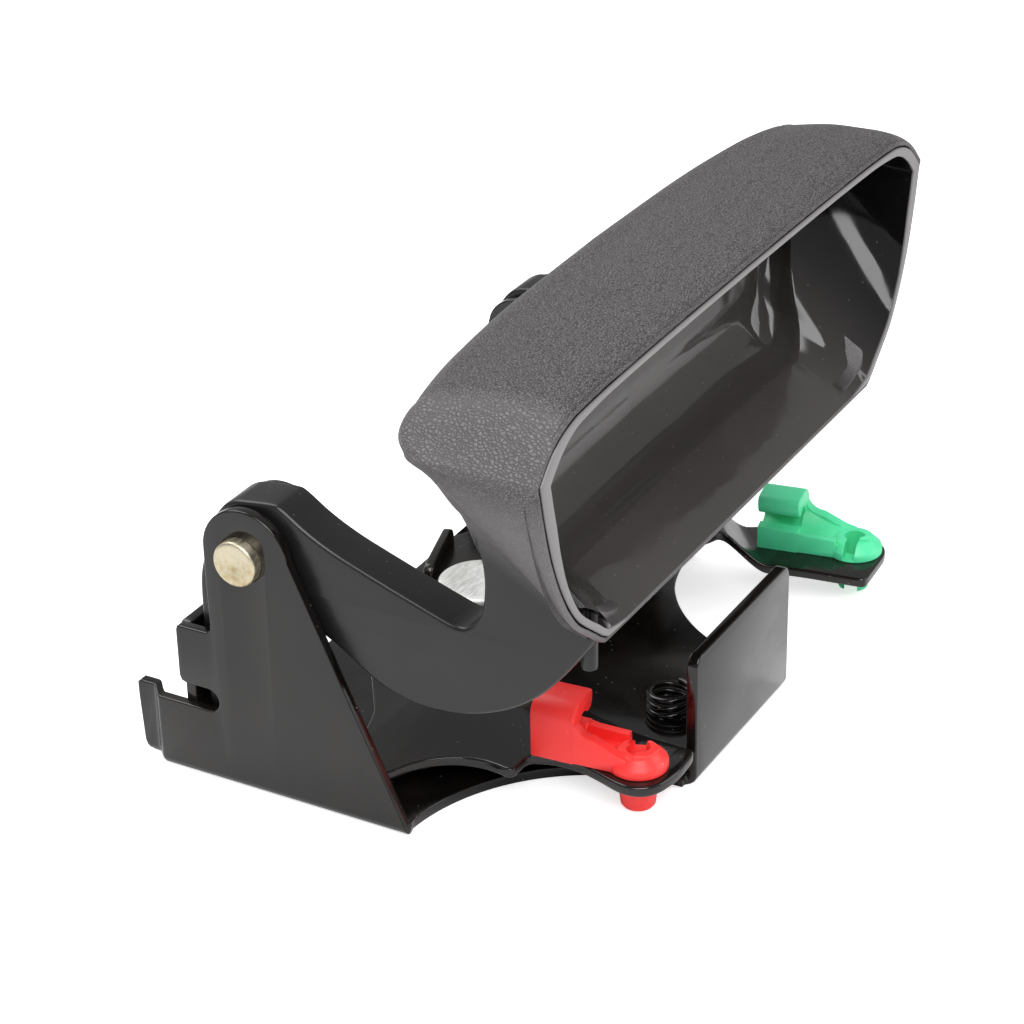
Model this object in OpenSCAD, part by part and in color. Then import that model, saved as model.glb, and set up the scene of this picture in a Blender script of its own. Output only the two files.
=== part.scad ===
/* [Bracket] */
// distance between the outer faces of the two ears
ear_span = 137; // [110:1:170]
// sheet thickness of the stamped bracket
sheet = 2.5; // [1.5:0.1:4]
// depth of the hanger web behind the ears, from the pin axis
web_back = 18.1; // [12:0.1:26]
// height of the hanger web above the underside
web_top = 36.8; // [28:0.1:45]
// width of the turned-up front flange
flange_w = 46.5; // [30:1:70]
// height of the turned-up front flange
flange_h = 31.5; // [15:0.5:45]
// radius of the concave cut on each side of the base
side_cut_r = 43.5; // [36:0.5:50]

/* [Pivot] */
// height of the handle pivot above the underside
pivot_z = 57; // [45:0.5:75]
// radius of the pivot pins
pin_r = 5.1; // [3:0.1:7]
// how far a pin end stands out of the ear
pin_out = 2.7; // [1:0.1:6]
// running clearance of the arm on its pin, radial
pin_fit = 0.08; // [0.02:0.01:0.1]

/* [Handle] */
// half of the greatest width of the grip
grip_half = 90.4; // [70:0.2:110]
// distance of the pocket rim in front of the pin axis
rim_front = 82; // [70:0.5:95]
// wall of the outer grip moulding
shell_wall = 1.8; // [1.2:0.1:3]
// wall of the pocket liner
liner_wall = 2.2; // [1.4:0.1:3.5]
// width of each gooseneck arm
arm_w = 10.5; // [8:0.5:14]
// gap between an ear and its arm
arm_gap = 1.0; // [0.4:0.1:2]

/* [Levers] */
// radius of the shoulder that carries both levers
stud_r = 6; // [4:0.1:8]
// radius of the wide rivet head
head_r = 9.7; // [8:0.1:12]
// lever plate thickness
lever_t = 2.4; // [1.5:0.1:3.5]
// underside of the lower lever
low_z = 7.6; // [6:0.1:10]
// underside of the upper lever
high_z = 14.6; // [12:0.1:18]
// radius of the hole in each lever tab
tab_hole_r = 3.4; // [2:0.1:4]

/* [Rod clips] */
// radius of the rod that snaps into a clip
rod_r = 2.5; // [1.5:0.1:3.5]
// reach from the tab hole to the back of the hook
clip_reach = 22.5; // [20:0.5:34]

/* [Base spring] */
// mean radius of the coil
coil_r = 4.6; // [3:0.1:7]
// wire radius
wire_r = 0.6; // [0.3:0.05:1]
// free height of the coil
coil_h = 8.6; // [5:0.1:14]

/* [Hidden] */
$fn = 64;
eps = 0.01;
// Y of the pin axis; the pocket faces -Y
pin_y = 30;
ear_x = ear_span / 2;
ear_in = ear_x - sheet;
web_y = pin_y + web_back;
rim_y = pin_y - rim_front;
// arm planes, outer and inner, on the right hand side
arm_o = ear_in - arm_gap;
arm_i = arm_o - arm_w;
hang_o = arm_i - arm_gap;
hang_i = hang_o - sheet;
// lever pivot
lev_x = 4;
lev_y = 16;
// slot in each ear, open to the back
slot_z = 17.5;
slot_h = 5.4;
slot_end = 41;
// rest places of the two tab holes
// how far the outer ends of the levers follow the ears
ear_move = ear_in - 66;
ltab = [-35, -44.2];
rtab = [71.2 + ear_move, -47.5];

// points beyond a distance from the middle move out with the ears
function follow(pts, from) =
  [for (p = pts) [abs(p[0]) > from ? p[0] + sign(p[0]) * ear_move : p[0], p[1]]];

// points of a side outline above a height rise and sink with the pin axis
pivot_lift = pivot_z - 57;
function lift(pts, from) = [for (p = pts) [p[0], p[1] > from ? p[1] + pivot_lift : p[1]]];

// half outline of the grip rim: half width against height above the pin axis
RIM_LOW = [[0, 0], [63.5, 0], [66, 1.2], [69, 3.6], [73, 6.8], [76.5, 10], [81, 16.4],
  [85.5, 26], [88.5, 36], [90.4, 44.6]];
RIM_TOP = [[0, 56.4], [30, 56.3], [54, 56], [74, 55.2], [80, 53.9], [83.5, 52.3],
  [87, 49.6], [89, 47.6], [90.4, 46.2]];
// back edge of the grip: height of its top, of its foot, and its depth
BACK_TOP = [[0, 57.2], [40, 57], [60, 56.4], [75, 55.2], [80, 53.8], [84, 51],
  [87.5, 48], [90.4, 46.4]];
BACK_LOW = [[0, 3.5], [56, 4], [62, 9], [65, 16], [68, 21.5], [71.3, 25.4], [76, 31.7],
  [83, 39.7], [88, 44], [90.4, 45.2]];
BACK_P = [[0, 43.5], [30, 44], [59.5, 45.7], [75, 47.4], [83, 48.8], [87, 51.5], [90.4, 58]];
HALF = [0, 12, 24, 36, 46, 54, 58, 61, 63.5, 65, 66.5, 68, 69.5, 71.3, 73, 74.5, 76, 77.5,
  79, 80.5, 82, 83.5, 85, 86.2, 87.3, 88.3, 89.2, 89.9, 90.4];

function grip_ring(x, d, yf) =
  let (
    a = min(90.4, abs(x) * 90.4 / (grip_half - d)),
    fm = pivot_z + (lookup(a, RIM_LOW) + lookup(a, RIM_TOP)) / 2,
    fh = max(0.6, lookup(a, RIM_TOP) - lookup(a, RIM_LOW) - 2 * d),
    zf0 = fm - fh / 2,
    zf1 = fm + fh / 2,
    yb = pin_y - lookup(a, BACK_P) - d,
    bm = pivot_z + (lookup(a, BACK_LOW) + lookup(a, BACK_TOP)) / 2,
    h = max(0.5, lookup(a, BACK_TOP) - lookup(a, BACK_LOW) - 2 * d),
    zb0 = bm - h / 2,
    zb1 = bm + h / 2,
    r = min(8.5, 0.42 * h),
    rb = min(5, 0.3 * h),
    yl = yb - 7 * min(1, h / 50),
    bulge = 1.3 * min(1, h / 20)
  )
  concat(
    [for (i = [0 : 4]) [x, yf, zf0 + (zf1 - zf0) * i / 4]],
    [for (i = [1 : 9]) let (s = i / 9)
      [x, yf + s * (yb - r - yf), zf1 + s * (zb1 - zf1) + bulge * sin(180 * s)]],
    [for (i = [1 : 8]) let (t = 90 - 11.25 * i)
      [x, yb - r + r * cos(t), zb1 - r + r * sin(t)]],
    [for (i = [1 : 4]) let (s = i / 4)
      [x, yb + s * (yl - yb), zb1 - r + s * (zb0 + rb - zb1 + r)]],
    [for (i = [1 : 5]) let (t = -18 * i)
      [x, yl - rb + rb * cos(t), zb0 + rb + rb * sin(t)]],
    [for (i = [1 : 4]) let (s = i / 5)
      [x, yl - rb + s * (yf - yl + rb), zb0 + s * (zf0 - zb0)]]
  );

// mean point of a ring
function ring_mid(r) = [for (j = [0 : 2]) [for (p = r) p[j]] * [for (p = r) 1] / len(r)];

// skin over a list of rings that all hold the same number of points
module loft(rings) {
  n = len(rings[0]);
  m = len(rings);
  polyhedron(
    points = concat([for (r = rings) for (p = r) p], [ring_mid(rings[0]), ring_mid(rings[m - 1])]),
    faces = concat(
      [for (i = [0 : n - 1]) [m * n, (i + 1) % n, i]],
      [for (i = [0 : n - 1]) [m * n + 1, (m - 1) * n + i, (m - 1) * n + (i + 1) % n]],
      [for (k = [0 : m - 2]) for (i = [0 : n - 1])
        [k * n + i, k * n + (i + 1) % n, (k + 1) * n + (i + 1) % n]],
      [for (k = [0 : m - 2]) for (i = [0 : n - 1])
        [k * n + i, (k + 1) * n + (i + 1) % n, (k + 1) * n + i]]
    ),
    convexity = 6
  );
}

module grip_solid(d, yf) {
  f = (grip_half - d) / 90.4;
  // stations stop where the walls of a hollow would meet
  hs = [for (v = HALF) if (lookup(v, RIM_TOP) - lookup(v, RIM_LOW) - 2 * d > 0.6) v];
  xs = concat([for (i = [len(hs) - 1 : -1 : 1]) -hs[i] * f], [for (v = hs) v * f]);
  loft([for (x = xs) grip_ring(x, d, yf)]);
}

// plate standing along X, drawn in the Y-Z plane
module side_plate(x0, w) {
  translate([x0, 0, 0])
    rotate([90, 0, 90])
      linear_extrude(height = w)
        children();
}

module both_sides() {
  children();
  mirror([1, 0, 0])
    children();
}

module x_rod(x0, x1, y, z, r) {
  translate([x0, y, z])
    rotate([0, 90, 0])
      cylinder(h = x1 - x0, r = r);
}

module ear_outline() {
  polygon(concat([[-6.5, sheet], [-7.6, 1.2]],
    lift([[18.7, 58.6], [20.0, 61.5], [29, 62], [38.4, 56]], 0),
    [[39.1, web_top + 2.2], [39.9, web_top], [web_y - 1, web_top], [web_y, web_top - 1],
      [web_y, slot_z + slot_h + 1], [web_y - 1, slot_z + slot_h], [slot_end, slot_z + slot_h],
      [slot_end, slot_z], [54.2, slot_z], [54.2, 0], [web_y, 0], [web_y, sheet]]));
}

module ear() {
  difference() {
    union() {
      side_plate(ear_in, sheet)
        ear_outline();
      x_rod(ear_in, ear_x, 29, pivot_z + 1, 10.3);
    }
    x_rod(ear_in - 1, ear_x + 1, pin_y, pivot_z, pin_r);
    x_rod(ear_in - 1, ear_x + 1, slot_end, slot_z + slot_h / 2, slot_h / 2);
  }
}

// tongue behind the ear, set inward by one sheet
module rear_tongue() {
  difference() {
    linear_extrude(height = slot_z)
      polygon([[ear_x, 54.2 - eps], [ear_x, 54.4], [ear_x - 2.7, 57.4], [ear_x - 2.7, 61.6],
        [ear_x - 2.7 - sheet, 61.6], [ear_x - 2.7 - sheet, 56.6], [ear_in, 54.2 - eps]]);
    translate([ear_x - 8, 57.4, -1])
      rotate([90, 0, 90])
        linear_extrude(height = 12)
          polygon([[1.2, 0.9], [4.4, 5], [6, 5], [6, 0], [1, 0]]);
  }
}

module hanger() {
  // web behind the arm
  translate([hang_i + 0.5, web_y - sheet, 0])
    cube([ear_in - hang_i - 0.5, sheet, web_top]);
  // inner cheek, clear of the levers below
  difference() {
    union() {
      side_plate(hang_i, sheet)
        polygon([[web_y, web_top], [web_y, 20.5], [30, 20.5], [22, 34], [20.2, pivot_z - 1],
          [39, pivot_z + 1], [39.6, web_top]]);
      x_rod(hang_i, hang_o, pin_y, pivot_z, 9.6);
    }
    x_rod(hang_i - 1, hang_o + 1, pin_y, pivot_z, pin_r);
  }
}

module base_plate() {
  difference() {
    union() {
      translate([-ear_in, -40, 0])
        cube([2 * ear_in, web_y + 40, sheet]);
      translate([-27, rim_y + sheet, 0])
        cube([54, 30, sheet]);
      // bends under the ears
      both_sides()
        translate([ear_in, -7.6, sheet])
          rotate([-90, 0, 0])
            cylinder(h = web_y + 7.6, r = sheet);
    }
    both_sides()
      translate([ear_x, -50, -1])
        cylinder(h = sheet + 6, r = side_cut_r, $fn = 128);
    // countersink that takes the staked foot of the rivet
    translate([lev_x, lev_y, -eps])
      cylinder(h = 1.24, r1 = stud_r + 1.24, r2 = stud_r);
    translate([lev_x, lev_y, -1])
      cylinder(h = sheet + 2, r = stud_r + 0.02);
  }
}

module front_flange() {
  difference() {
    union() {
      translate([-flange_w / 2, rim_y, sheet])
        cube([flange_w, sheet, flange_h - sheet]);
      intersection() {
        translate([-flange_w / 2, rim_y + sheet, sheet])
          rotate([0, 90, 0])
            cylinder(h = flange_w, r = sheet);
        translate([-flange_w / 2, rim_y, 0])
          cube([flange_w, sheet, sheet]);
      }
    }
    both_sides()
      translate([flange_w / 2 - 3, rim_y - 1, flange_h - 3])
        rotate([-90, 0, 0])
          difference() {
            translate([0, -4, 0])
              cube([4, 4, sheet + 2]);
            cylinder(h = sheet + 2, r = 3);
          }
  }
}

module bracket() {
  color("#26231f") {
    base_plate();
    front_flange();
    both_sides() {
      ear();
      rear_tongue();
      hanger();
    }
    // upset boss inside the coil
    translate([-1.5, -35, sheet - eps])
      cylinder(h = 2.2, r1 = 3.4, r2 = 2.6);
  }
}

module arm_outline() {
  polygon(lift([[36.5, 66.2], [33.5, 68.2], [31, 68.6], [23.6, 69.6], [21.6, 69.0], [16.5, 65.3],
    [9.8, 61.9], [-2.1, 57.6], [-15.1, 53.2], [-19.2, 52.0], [-21.6, 52.7], [-23.8, 54.8],
    [-25.2, 58.4], [-25.6, 66.5], [-23, 76], [-40, 80], [-51, 72], [-50.6, 58],
    [-49.2, 55.9], [-46.3, 51.7], [-42.5, 46.6], [-38.3, 41.9], [-34.9, 39.0], [-31.4, 36.6],
    [-27.4, 34.5], [-23.2, 32.9], [-19.2, 31.8], [-15, 31.2], [-11.4, 31.0], [-7.9, 31.2],
    [-4.3, 32.0], [-0.9, 33.2], [2.6, 35.1], [6.1, 37.4], [11, 40.8], [17, 43.6], [24, 44.8],
    [30, 43.2], [33.4, 39.6], [34.8, 34], [34.8, 17.6], [35.8, 15.4], [37.8, 14.3],
    [39.8, 14.3], [41.8, 15.2], [43, 17.2], [43.4, 20], [43.4, 46], [42.9, 49.8], [41.6, 54],
    [39.9, 61]], 30));
}

module arms() {
  both_sides()
    side_plate(arm_i, arm_w)
      arm_outline();
}

module handle_body() {
  color("#464344")
    difference() {
      union() {
        grip_solid(0, rim_y);
        arms();
        // round post under the front corner of the grip, over the red clip
        translate([-60, -46.2, pivot_z - 9])
          cylinder(h = 11, r = 2.6);
      }
      grip_solid(shell_wall, rim_y - 1);
      both_sides()
        x_rod(arm_i - 1, arm_o + 1, pin_y, pivot_z, pin_r + pin_fit);
    }
}

module pocket_liner() {
  color("#1b1a1a")
    difference() {
      intersection() {
        grip_solid(shell_wall + 0.02, rim_y - 1);
        translate([-grip_half - 10, rim_y - 0.4, pivot_z - 17])
          cube([2 * grip_half + 20, 60, 90]);
      }
      difference() {
        grip_solid(shell_wall + liner_wall, rim_y - 2);
        // lip that narrows the mouth at its lower corners
        both_sides()
          translate([62, rim_y - 3, pivot_z + 3])
            rotate([-90, 0, 0])
              linear_extrude(height = 5.5)
                polygon([[-6, 1.5], [4.4, -0.8], [12, -6.5], [17, -13], [21, -22], [26, -18], [14, 4]]);
      }
    }
}

module pivot_pin() {
  difference() {
    union() {
      x_rod(hang_i - 1.8, ear_x + pin_out - 0.6, pin_y, pivot_z, pin_r);
      translate([ear_x + pin_out - 0.6, pin_y, pivot_z])
        rotate([0, 90, 0])
          cylinder(h = 0.6, r1 = pin_r, r2 = pin_r - 0.5);
      x_rod(hang_i - 2.2, hang_i, pin_y, pivot_z, pin_r + 2.1);
    }
    // staking mark in the outer end
    translate([ear_x + pin_out - 0.5, pin_y, pivot_z])
      rotate([0, 90, 0])
        cylinder(h = 1, r1 = 0.7, r2 = 2.6);
  }
}

module left_pin() {
  color("#cfc9b4")
    mirror([1, 0, 0])
      pivot_pin();
}

module right_pin() {
  color("#cfc9b4")
    pivot_pin();
}

module lever_bore(z) {
  translate([lev_x, lev_y, z - 1])
    cylinder(h = lever_t + 2, r = stud_r + 0.06);
}

module left_lever() {
  color("#24211f")
    difference() {
      union() {
        translate([0, 0, low_z])
          linear_extrude(height = lever_t)
            polygon(follow([[-42.2, -21.8], [-49.2, -21.8], [-48.3, -16], [-48.8, -12.2], [-50, -8.5],
              [-52.2, -5.2], [-54.7, -2.7], [-57.8, -0.7], [-61.3, 0.7], [-62.8, 2.2], [-63.2, 4.5],
              [-62.4, 13], [-54.6, 13], [-51, 13.6], [-42, 16.5], [-33, 22.6], [-28, 26.1],
              [-22.5, 24.7],
              [-10, 27.5], [0, 29.4], [9, 28.3], [15, 22.8], [17, 15], [14.5, 7], [8, 2], [-2, -3],
              [-11, -10], [-18, -19], [-21.6, -28.2], [-23.2, -35], [-23.9, -41], [-24, -51.1],
              [-24.8, -52.1], [-26.3, -52.6], [-32.8, -52.9], [-37.1, -52.3], [-40.4, -51.2],
              [-42.6, -49.2], [-43.6, -46.4], [-43.4, -43.5], [-41.5, -38], [-40.3, -33.5],
              [-40.1, -28]], 47));
        // low turned-up lip that stiffens the free end and stays under the arm tail's sweep
        translate([-62.4 - ear_move, 10.6, low_z])
          cube([7.8, 2.4, lever_t + 2.6]);
      }
      lever_bore(low_z);
      translate([ltab.x, ltab.y, low_z - 1])
        cylinder(h = lever_t + 2, r = tab_hole_r);
    }
}

module right_lever() {
  color("#24211f")
    difference() {
      union() {
        translate([0, 0, high_z])
          linear_extrude(height = lever_t)
            polygon(follow([[-9.5, 14], [-8.5, 24], [-5, 27.6], [0, 29.2], [2, 29.4], [22, 35.2], [32, 30],
              [44, 29.6], [54, 34.6], [61.8, 34.6], [62.5, 33.6], [62.5, 8], [64.6, 0], [67.0, -10],
              [54.2, -20.5], [50.4, -19.2], [42, -14], [32, -7], [22, -0.5], [12, 3.6], [4, 4.2],
              [-3, 5.4], [-7.5, 9]], 48));
        // joggle down to the tab
        hull() {
          translate([0, 0, high_z])
            linear_extrude(height = lever_t)
              polygon(follow([[54.0, -20.3], [67.0, -9.7], [67.1, -10.4], [54.2, -21.0]], 48));
          translate([0, 0, low_z])
            linear_extrude(height = lever_t)
              polygon(follow([[54.7, -30.9], [70.4, -19.4], [70.9, -20.2], [54.9, -31.6]], 48));
        }
        translate([0, 0, low_z])
          linear_extrude(height = lever_t)
            polygon(follow([[54.8, -31.2], [70.6, -19.8], [76.4, -30], [79.4, -40], [79.8, -47.5],
              [78.4, -51],
              [76, -53.4], [73, -54.6], [60.2, -55.4], [59.2, -54.8], [58.9, -53.4], [57.4, -42],
              [55.9, -34]], 48));
        // turned-up rib along the back edge
        translate([1, 27.0, high_z])
          rotate([0, 0, 16.2])
            cube([21.5, 2.2, lever_t + 4]);
        // turned-up pad that the arm tail reaches
        translate([54 + ear_move, 32.2, high_z])
          cube([7.8, 2.4, lever_t + 7]);
      }
      lever_bore(high_z);
      translate([rtab.x, rtab.y, low_z - 1])
        cylinder(h = lever_t + 2, r = tab_hole_r);
    }
}

module lever_rivet() {
  color("#d8d9d5")
    translate([lev_x, lev_y, 0]) {
      cylinder(h = 1.2, r1 = stud_r + 1.2, r2 = stud_r);
      cylinder(h = sheet + eps, r = stud_r);
      translate([0, 0, sheet])
        cylinder(h = low_z - sheet, r = 9);
      translate([0, 0, low_z - eps])
        cylinder(h = high_z + lever_t + 0.3 - low_z + 2 * eps, r = stud_r);
      translate([0, 0, high_z + lever_t + 0.3])
        cylinder(h = 1.7, r = head_r);
      translate([0, 0, high_z + lever_t + 2])
        cylinder(h = 0.6, r1 = head_r, r2 = head_r - 0.9);
    }
}

module lever_spacer() {
  color("#9a9a97")
    translate([lev_x, lev_y, low_z + lever_t])
      difference() {
        cylinder(h = high_z - low_z - lever_t, r = 9.5);
        translate([0, 0, -1])
          cylinder(h = high_z - low_z, r = stud_r + 0.05);
      }
}

// clip laid out from the tab hole at the origin, hook toward +Y
module rod_clip(stem) {
  difference() {
    union() {
      // domed cap over the hole
      cylinder(h = 2.0, r = 6.5);
      translate([0, 0, 2.0])
        cylinder(h = 2.0, r1 = 6.5, r2 = 3.9);
      // floor and wall of the rod channel
      translate([-5.2, 0, 0])
        cube([10.4, clip_reach - 9, 2.4]);
      translate([-5.2, 0, 0])
        rotate([90, 0, 90])
          linear_extrude(height = 2.6)
            polygon([[0, 0], [0, 4.2], [clip_reach - 14, 6.5], [clip_reach - 9, 10], [clip_reach - 9, 0]]);
      // inner wall of the channel
      translate([3.4, 3.4, 0])
        cube([1.8, clip_reach - 12.4, 4.8]);
      // hook block
      translate([0, clip_reach, 0])
        rotate([90, 0, 0])
          linear_extrude(height = 10)
            polygon([[-5.2, 0], [5.2, 0], [5.2, 3.2], [5.2, 13.2], [-1.2, 13.6], [-3.2, 12.9],
              [-4.7, 11.2], [-5.2, 8.8]]);
      // neck in the tab hole
      translate([0, 0, -lever_t - 0.02])
        cylinder(h = lever_t + 0.04, r = tab_hole_r - 0.06);
      children();
    }
    // seat of the rod in the hook
    translate([0.6, clip_reach + 1, 7.2])
      rotate([90, 0, 0])
        cylinder(h = 12, r = rod_r);
    // mouth of the seat, narrower than the rod
    translate([0.6, clip_reach - 11, 4.9])
      cube([6, 12, 4.6]);
    // hole for the bent rod end and its entry slot
    translate([0, 0, -stem - lever_t - 1])
      cylinder(h = stem + lever_t + 8, r = rod_r);
    translate([0, -1.5, 2.4])
      cube([9, 3, 3]);
  }
}

module left_clip() {
  color("#fb3a34")
    translate([ltab.x, ltab.y, low_z + lever_t])
      rotate([0, 0, 4.5])
        rod_clip(5.4)
          // long tapered stem under the tab
          translate([0, 0, -lever_t - 5.0])
            cylinder(h = 5.0, r1 = 3.4, r2 = 4.3);
}

module right_clip() {
  color("#3dbd73")
    translate([rtab.x, rtab.y, low_z + lever_t])
      rotate([0, 0, 9.7])
        mirror([1, 0, 0])
        rod_clip(2.4)
          // two short barbs under the tab
          translate([0, 0, -lever_t - 2.0])
            difference() {
              cylinder(h = 2.0, r1 = 3.3, r2 = 4.2);
              translate([-1.2, -6, -1])
                cube([2.4, 12, 4]);
            }
}

// closed wire swept along a helix with flat end turns
module coil(r, w, turns, h) {
  steps = 24;
  n = 8;
  rings = [for (i = [0 : turns * steps]) let (
      t = i * 360 / steps,
      u = i / (turns * steps),
      z = w + (h - 2 * w) * min(1, max(0, (u - 0.12) / 0.76)))
    [for (k = [0 : n - 1]) let (b = 360 * k / n)
      [(r + w * cos(b)) * cos(t), (r + w * cos(b)) * sin(t), z + w * sin(b)]]];
  loft(rings);
}

module base_spring() {
  color("#1a1918")
    translate([-1.5, -35, sheet])
      coil(coil_r, wire_r, 5, coil_h);
}

bracket();
handle_body();
pocket_liner();
left_pin();
right_pin();
left_lever();
right_lever();
lever_rivet();
lever_spacer();
left_clip();
right_clip();
base_spring();
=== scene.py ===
"""Looks of the tailgate handle, laid over its packed construction model.

Lengths in the classes are millimetres in the row frame: +X along the grip, the
finger pocket faces -Y, +Z up from the base plate. Meshes are put in as metres.
"""
import logging
import math
from collections.abc import Callable
from dataclasses import dataclass, field
from enum import Enum

import bmesh
import bpy
import numpy as np
from mathutils import Matrix, Vector
from mathutils.geometry import tessellate_polygon


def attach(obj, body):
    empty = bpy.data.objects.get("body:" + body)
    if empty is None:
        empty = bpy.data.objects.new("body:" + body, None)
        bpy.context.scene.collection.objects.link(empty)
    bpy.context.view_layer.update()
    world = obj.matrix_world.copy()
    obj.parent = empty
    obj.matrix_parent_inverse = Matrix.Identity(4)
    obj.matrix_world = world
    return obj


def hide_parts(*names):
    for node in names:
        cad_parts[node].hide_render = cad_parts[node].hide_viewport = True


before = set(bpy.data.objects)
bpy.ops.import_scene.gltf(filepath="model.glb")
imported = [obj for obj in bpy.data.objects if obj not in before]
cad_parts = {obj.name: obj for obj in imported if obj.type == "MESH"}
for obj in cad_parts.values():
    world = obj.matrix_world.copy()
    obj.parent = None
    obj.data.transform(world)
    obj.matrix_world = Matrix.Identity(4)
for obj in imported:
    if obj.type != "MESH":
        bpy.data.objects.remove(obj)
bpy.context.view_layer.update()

LOG = logging.getLogger("tailgate_handle")
MM = 0.001
PIVOT_Y, PIVOT_Z = 30.0, 57.0
RIM_Y = -52.0
SIDES = (("left", -1.0), ("right", 1.0))


# ---------------------------------------------------------------- numbers

def smooth_table(table: list, at: np.ndarray) -> np.ndarray:
    """Reads a table of (place, value) rows along a smooth curve that never overshoots.

    Hermite cubic between rows, whose slopes are the harmonic mean of the two chords
    beside a row, and zero where the chords change sign.

    Args:
        table: rows of place and value, places rising.
        at: places to read, held to the table's ends.

    Returns:
        The values, in the shape of at.
    """
    x, y = np.asarray(table, float).T
    h = np.diff(x)
    m = np.diff(y) / h
    d = np.zeros_like(y)
    same = m[:-1] * m[1:] > 0
    with np.errstate(divide="ignore", invalid="ignore"):
        w1, w2 = 2 * h[1:] + h[:-1], h[1:] + 2 * h[:-1]
        mean = (w1 + w2) / (w1 / m[:-1] + w2 / m[1:])
    d[1:-1] = np.where(same, mean, 0.0)
    d[0], d[-1] = m[0], m[-1]
    at = np.clip(at, x[0], x[-1])
    k = np.clip(np.searchsorted(x, at, side="right") - 1, 0, len(h) - 1)
    t = (at - x[k]) / h[k]
    a = (1 + 2 * t) * (1 - t) ** 2 * y[k] + t * (1 - t) ** 2 * h[k] * d[k]
    return a + t * t * (3 - 2 * t) * y[k + 1] + t * t * (t - 1) * h[k] * d[k + 1]


def soften(outline: list, reach: float, passes: int = 4) -> np.ndarray:
    """Rounds the corners of a closed outline by cutting them again and again.

    Each pass swaps a corner for two points, each at a quarter of its edge but no
    farther from the corner than reach, which halves with each pass.

    Args:
        outline: corners in order.
        reach: farthest that the first cut goes from a corner.
        passes: number of cuts.

    Returns:
        The rounded outline, as an array of points.
    """
    p = np.asarray(outline, float)
    for _ in range(passes):
        e = np.roll(p, -1, 0) - p
        length = np.linalg.norm(e, axis=1, keepdims=True)
        cut = np.minimum(0.25, reach / np.maximum(length, 1e-9))
        p = np.stack([p + e * cut, p + e * (1 - cut)], 1).reshape(-1, p.shape[1])
        reach *= 0.45
    step = np.linalg.norm(p - np.roll(p, 1, 0), axis=1)
    return p[step > 1e-3]


def inset(loop: np.ndarray, gap: float | np.ndarray) -> np.ndarray:
    """Moves a closed loop inwards by a gap, along the mitre of its two edges.

    Args:
        loop: points in order, anticlockwise.
        gap: one distance, or one for each point.

    Returns:
        The moved loop.
    """
    e = np.roll(loop, -1, 0) - loop
    e /= np.maximum(np.linalg.norm(e, axis=1, keepdims=True), 1e-9)
    n = np.stack([-e[:, 1], e[:, 0]], 1)
    m = n + np.roll(n, 1, 0)
    m /= np.maximum((m * n).sum(1, keepdims=True), 0.35)
    return loop + m * np.reshape(gap, (-1, 1))


def area_sign(loop: np.ndarray) -> float:
    """Sign of a loop's area: 1 where it runs anticlockwise."""
    q = np.roll(loop, -1, 0)
    return float(np.sign((loop[:, 0] * q[:, 1] - loop[:, 1] * q[:, 0]).sum()))


def circle(x: float, y: float, r: float, n: int = 48) -> np.ndarray:
    """Points (x + r cos t, y + r sin t) round a circle, anticlockwise."""
    t = np.linspace(0, 2 * np.pi, n, endpoint=False)
    return np.stack([x + r * np.cos(t), y + r * np.sin(t)], 1)


# ---------------------------------------------------------------- meshes

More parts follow.
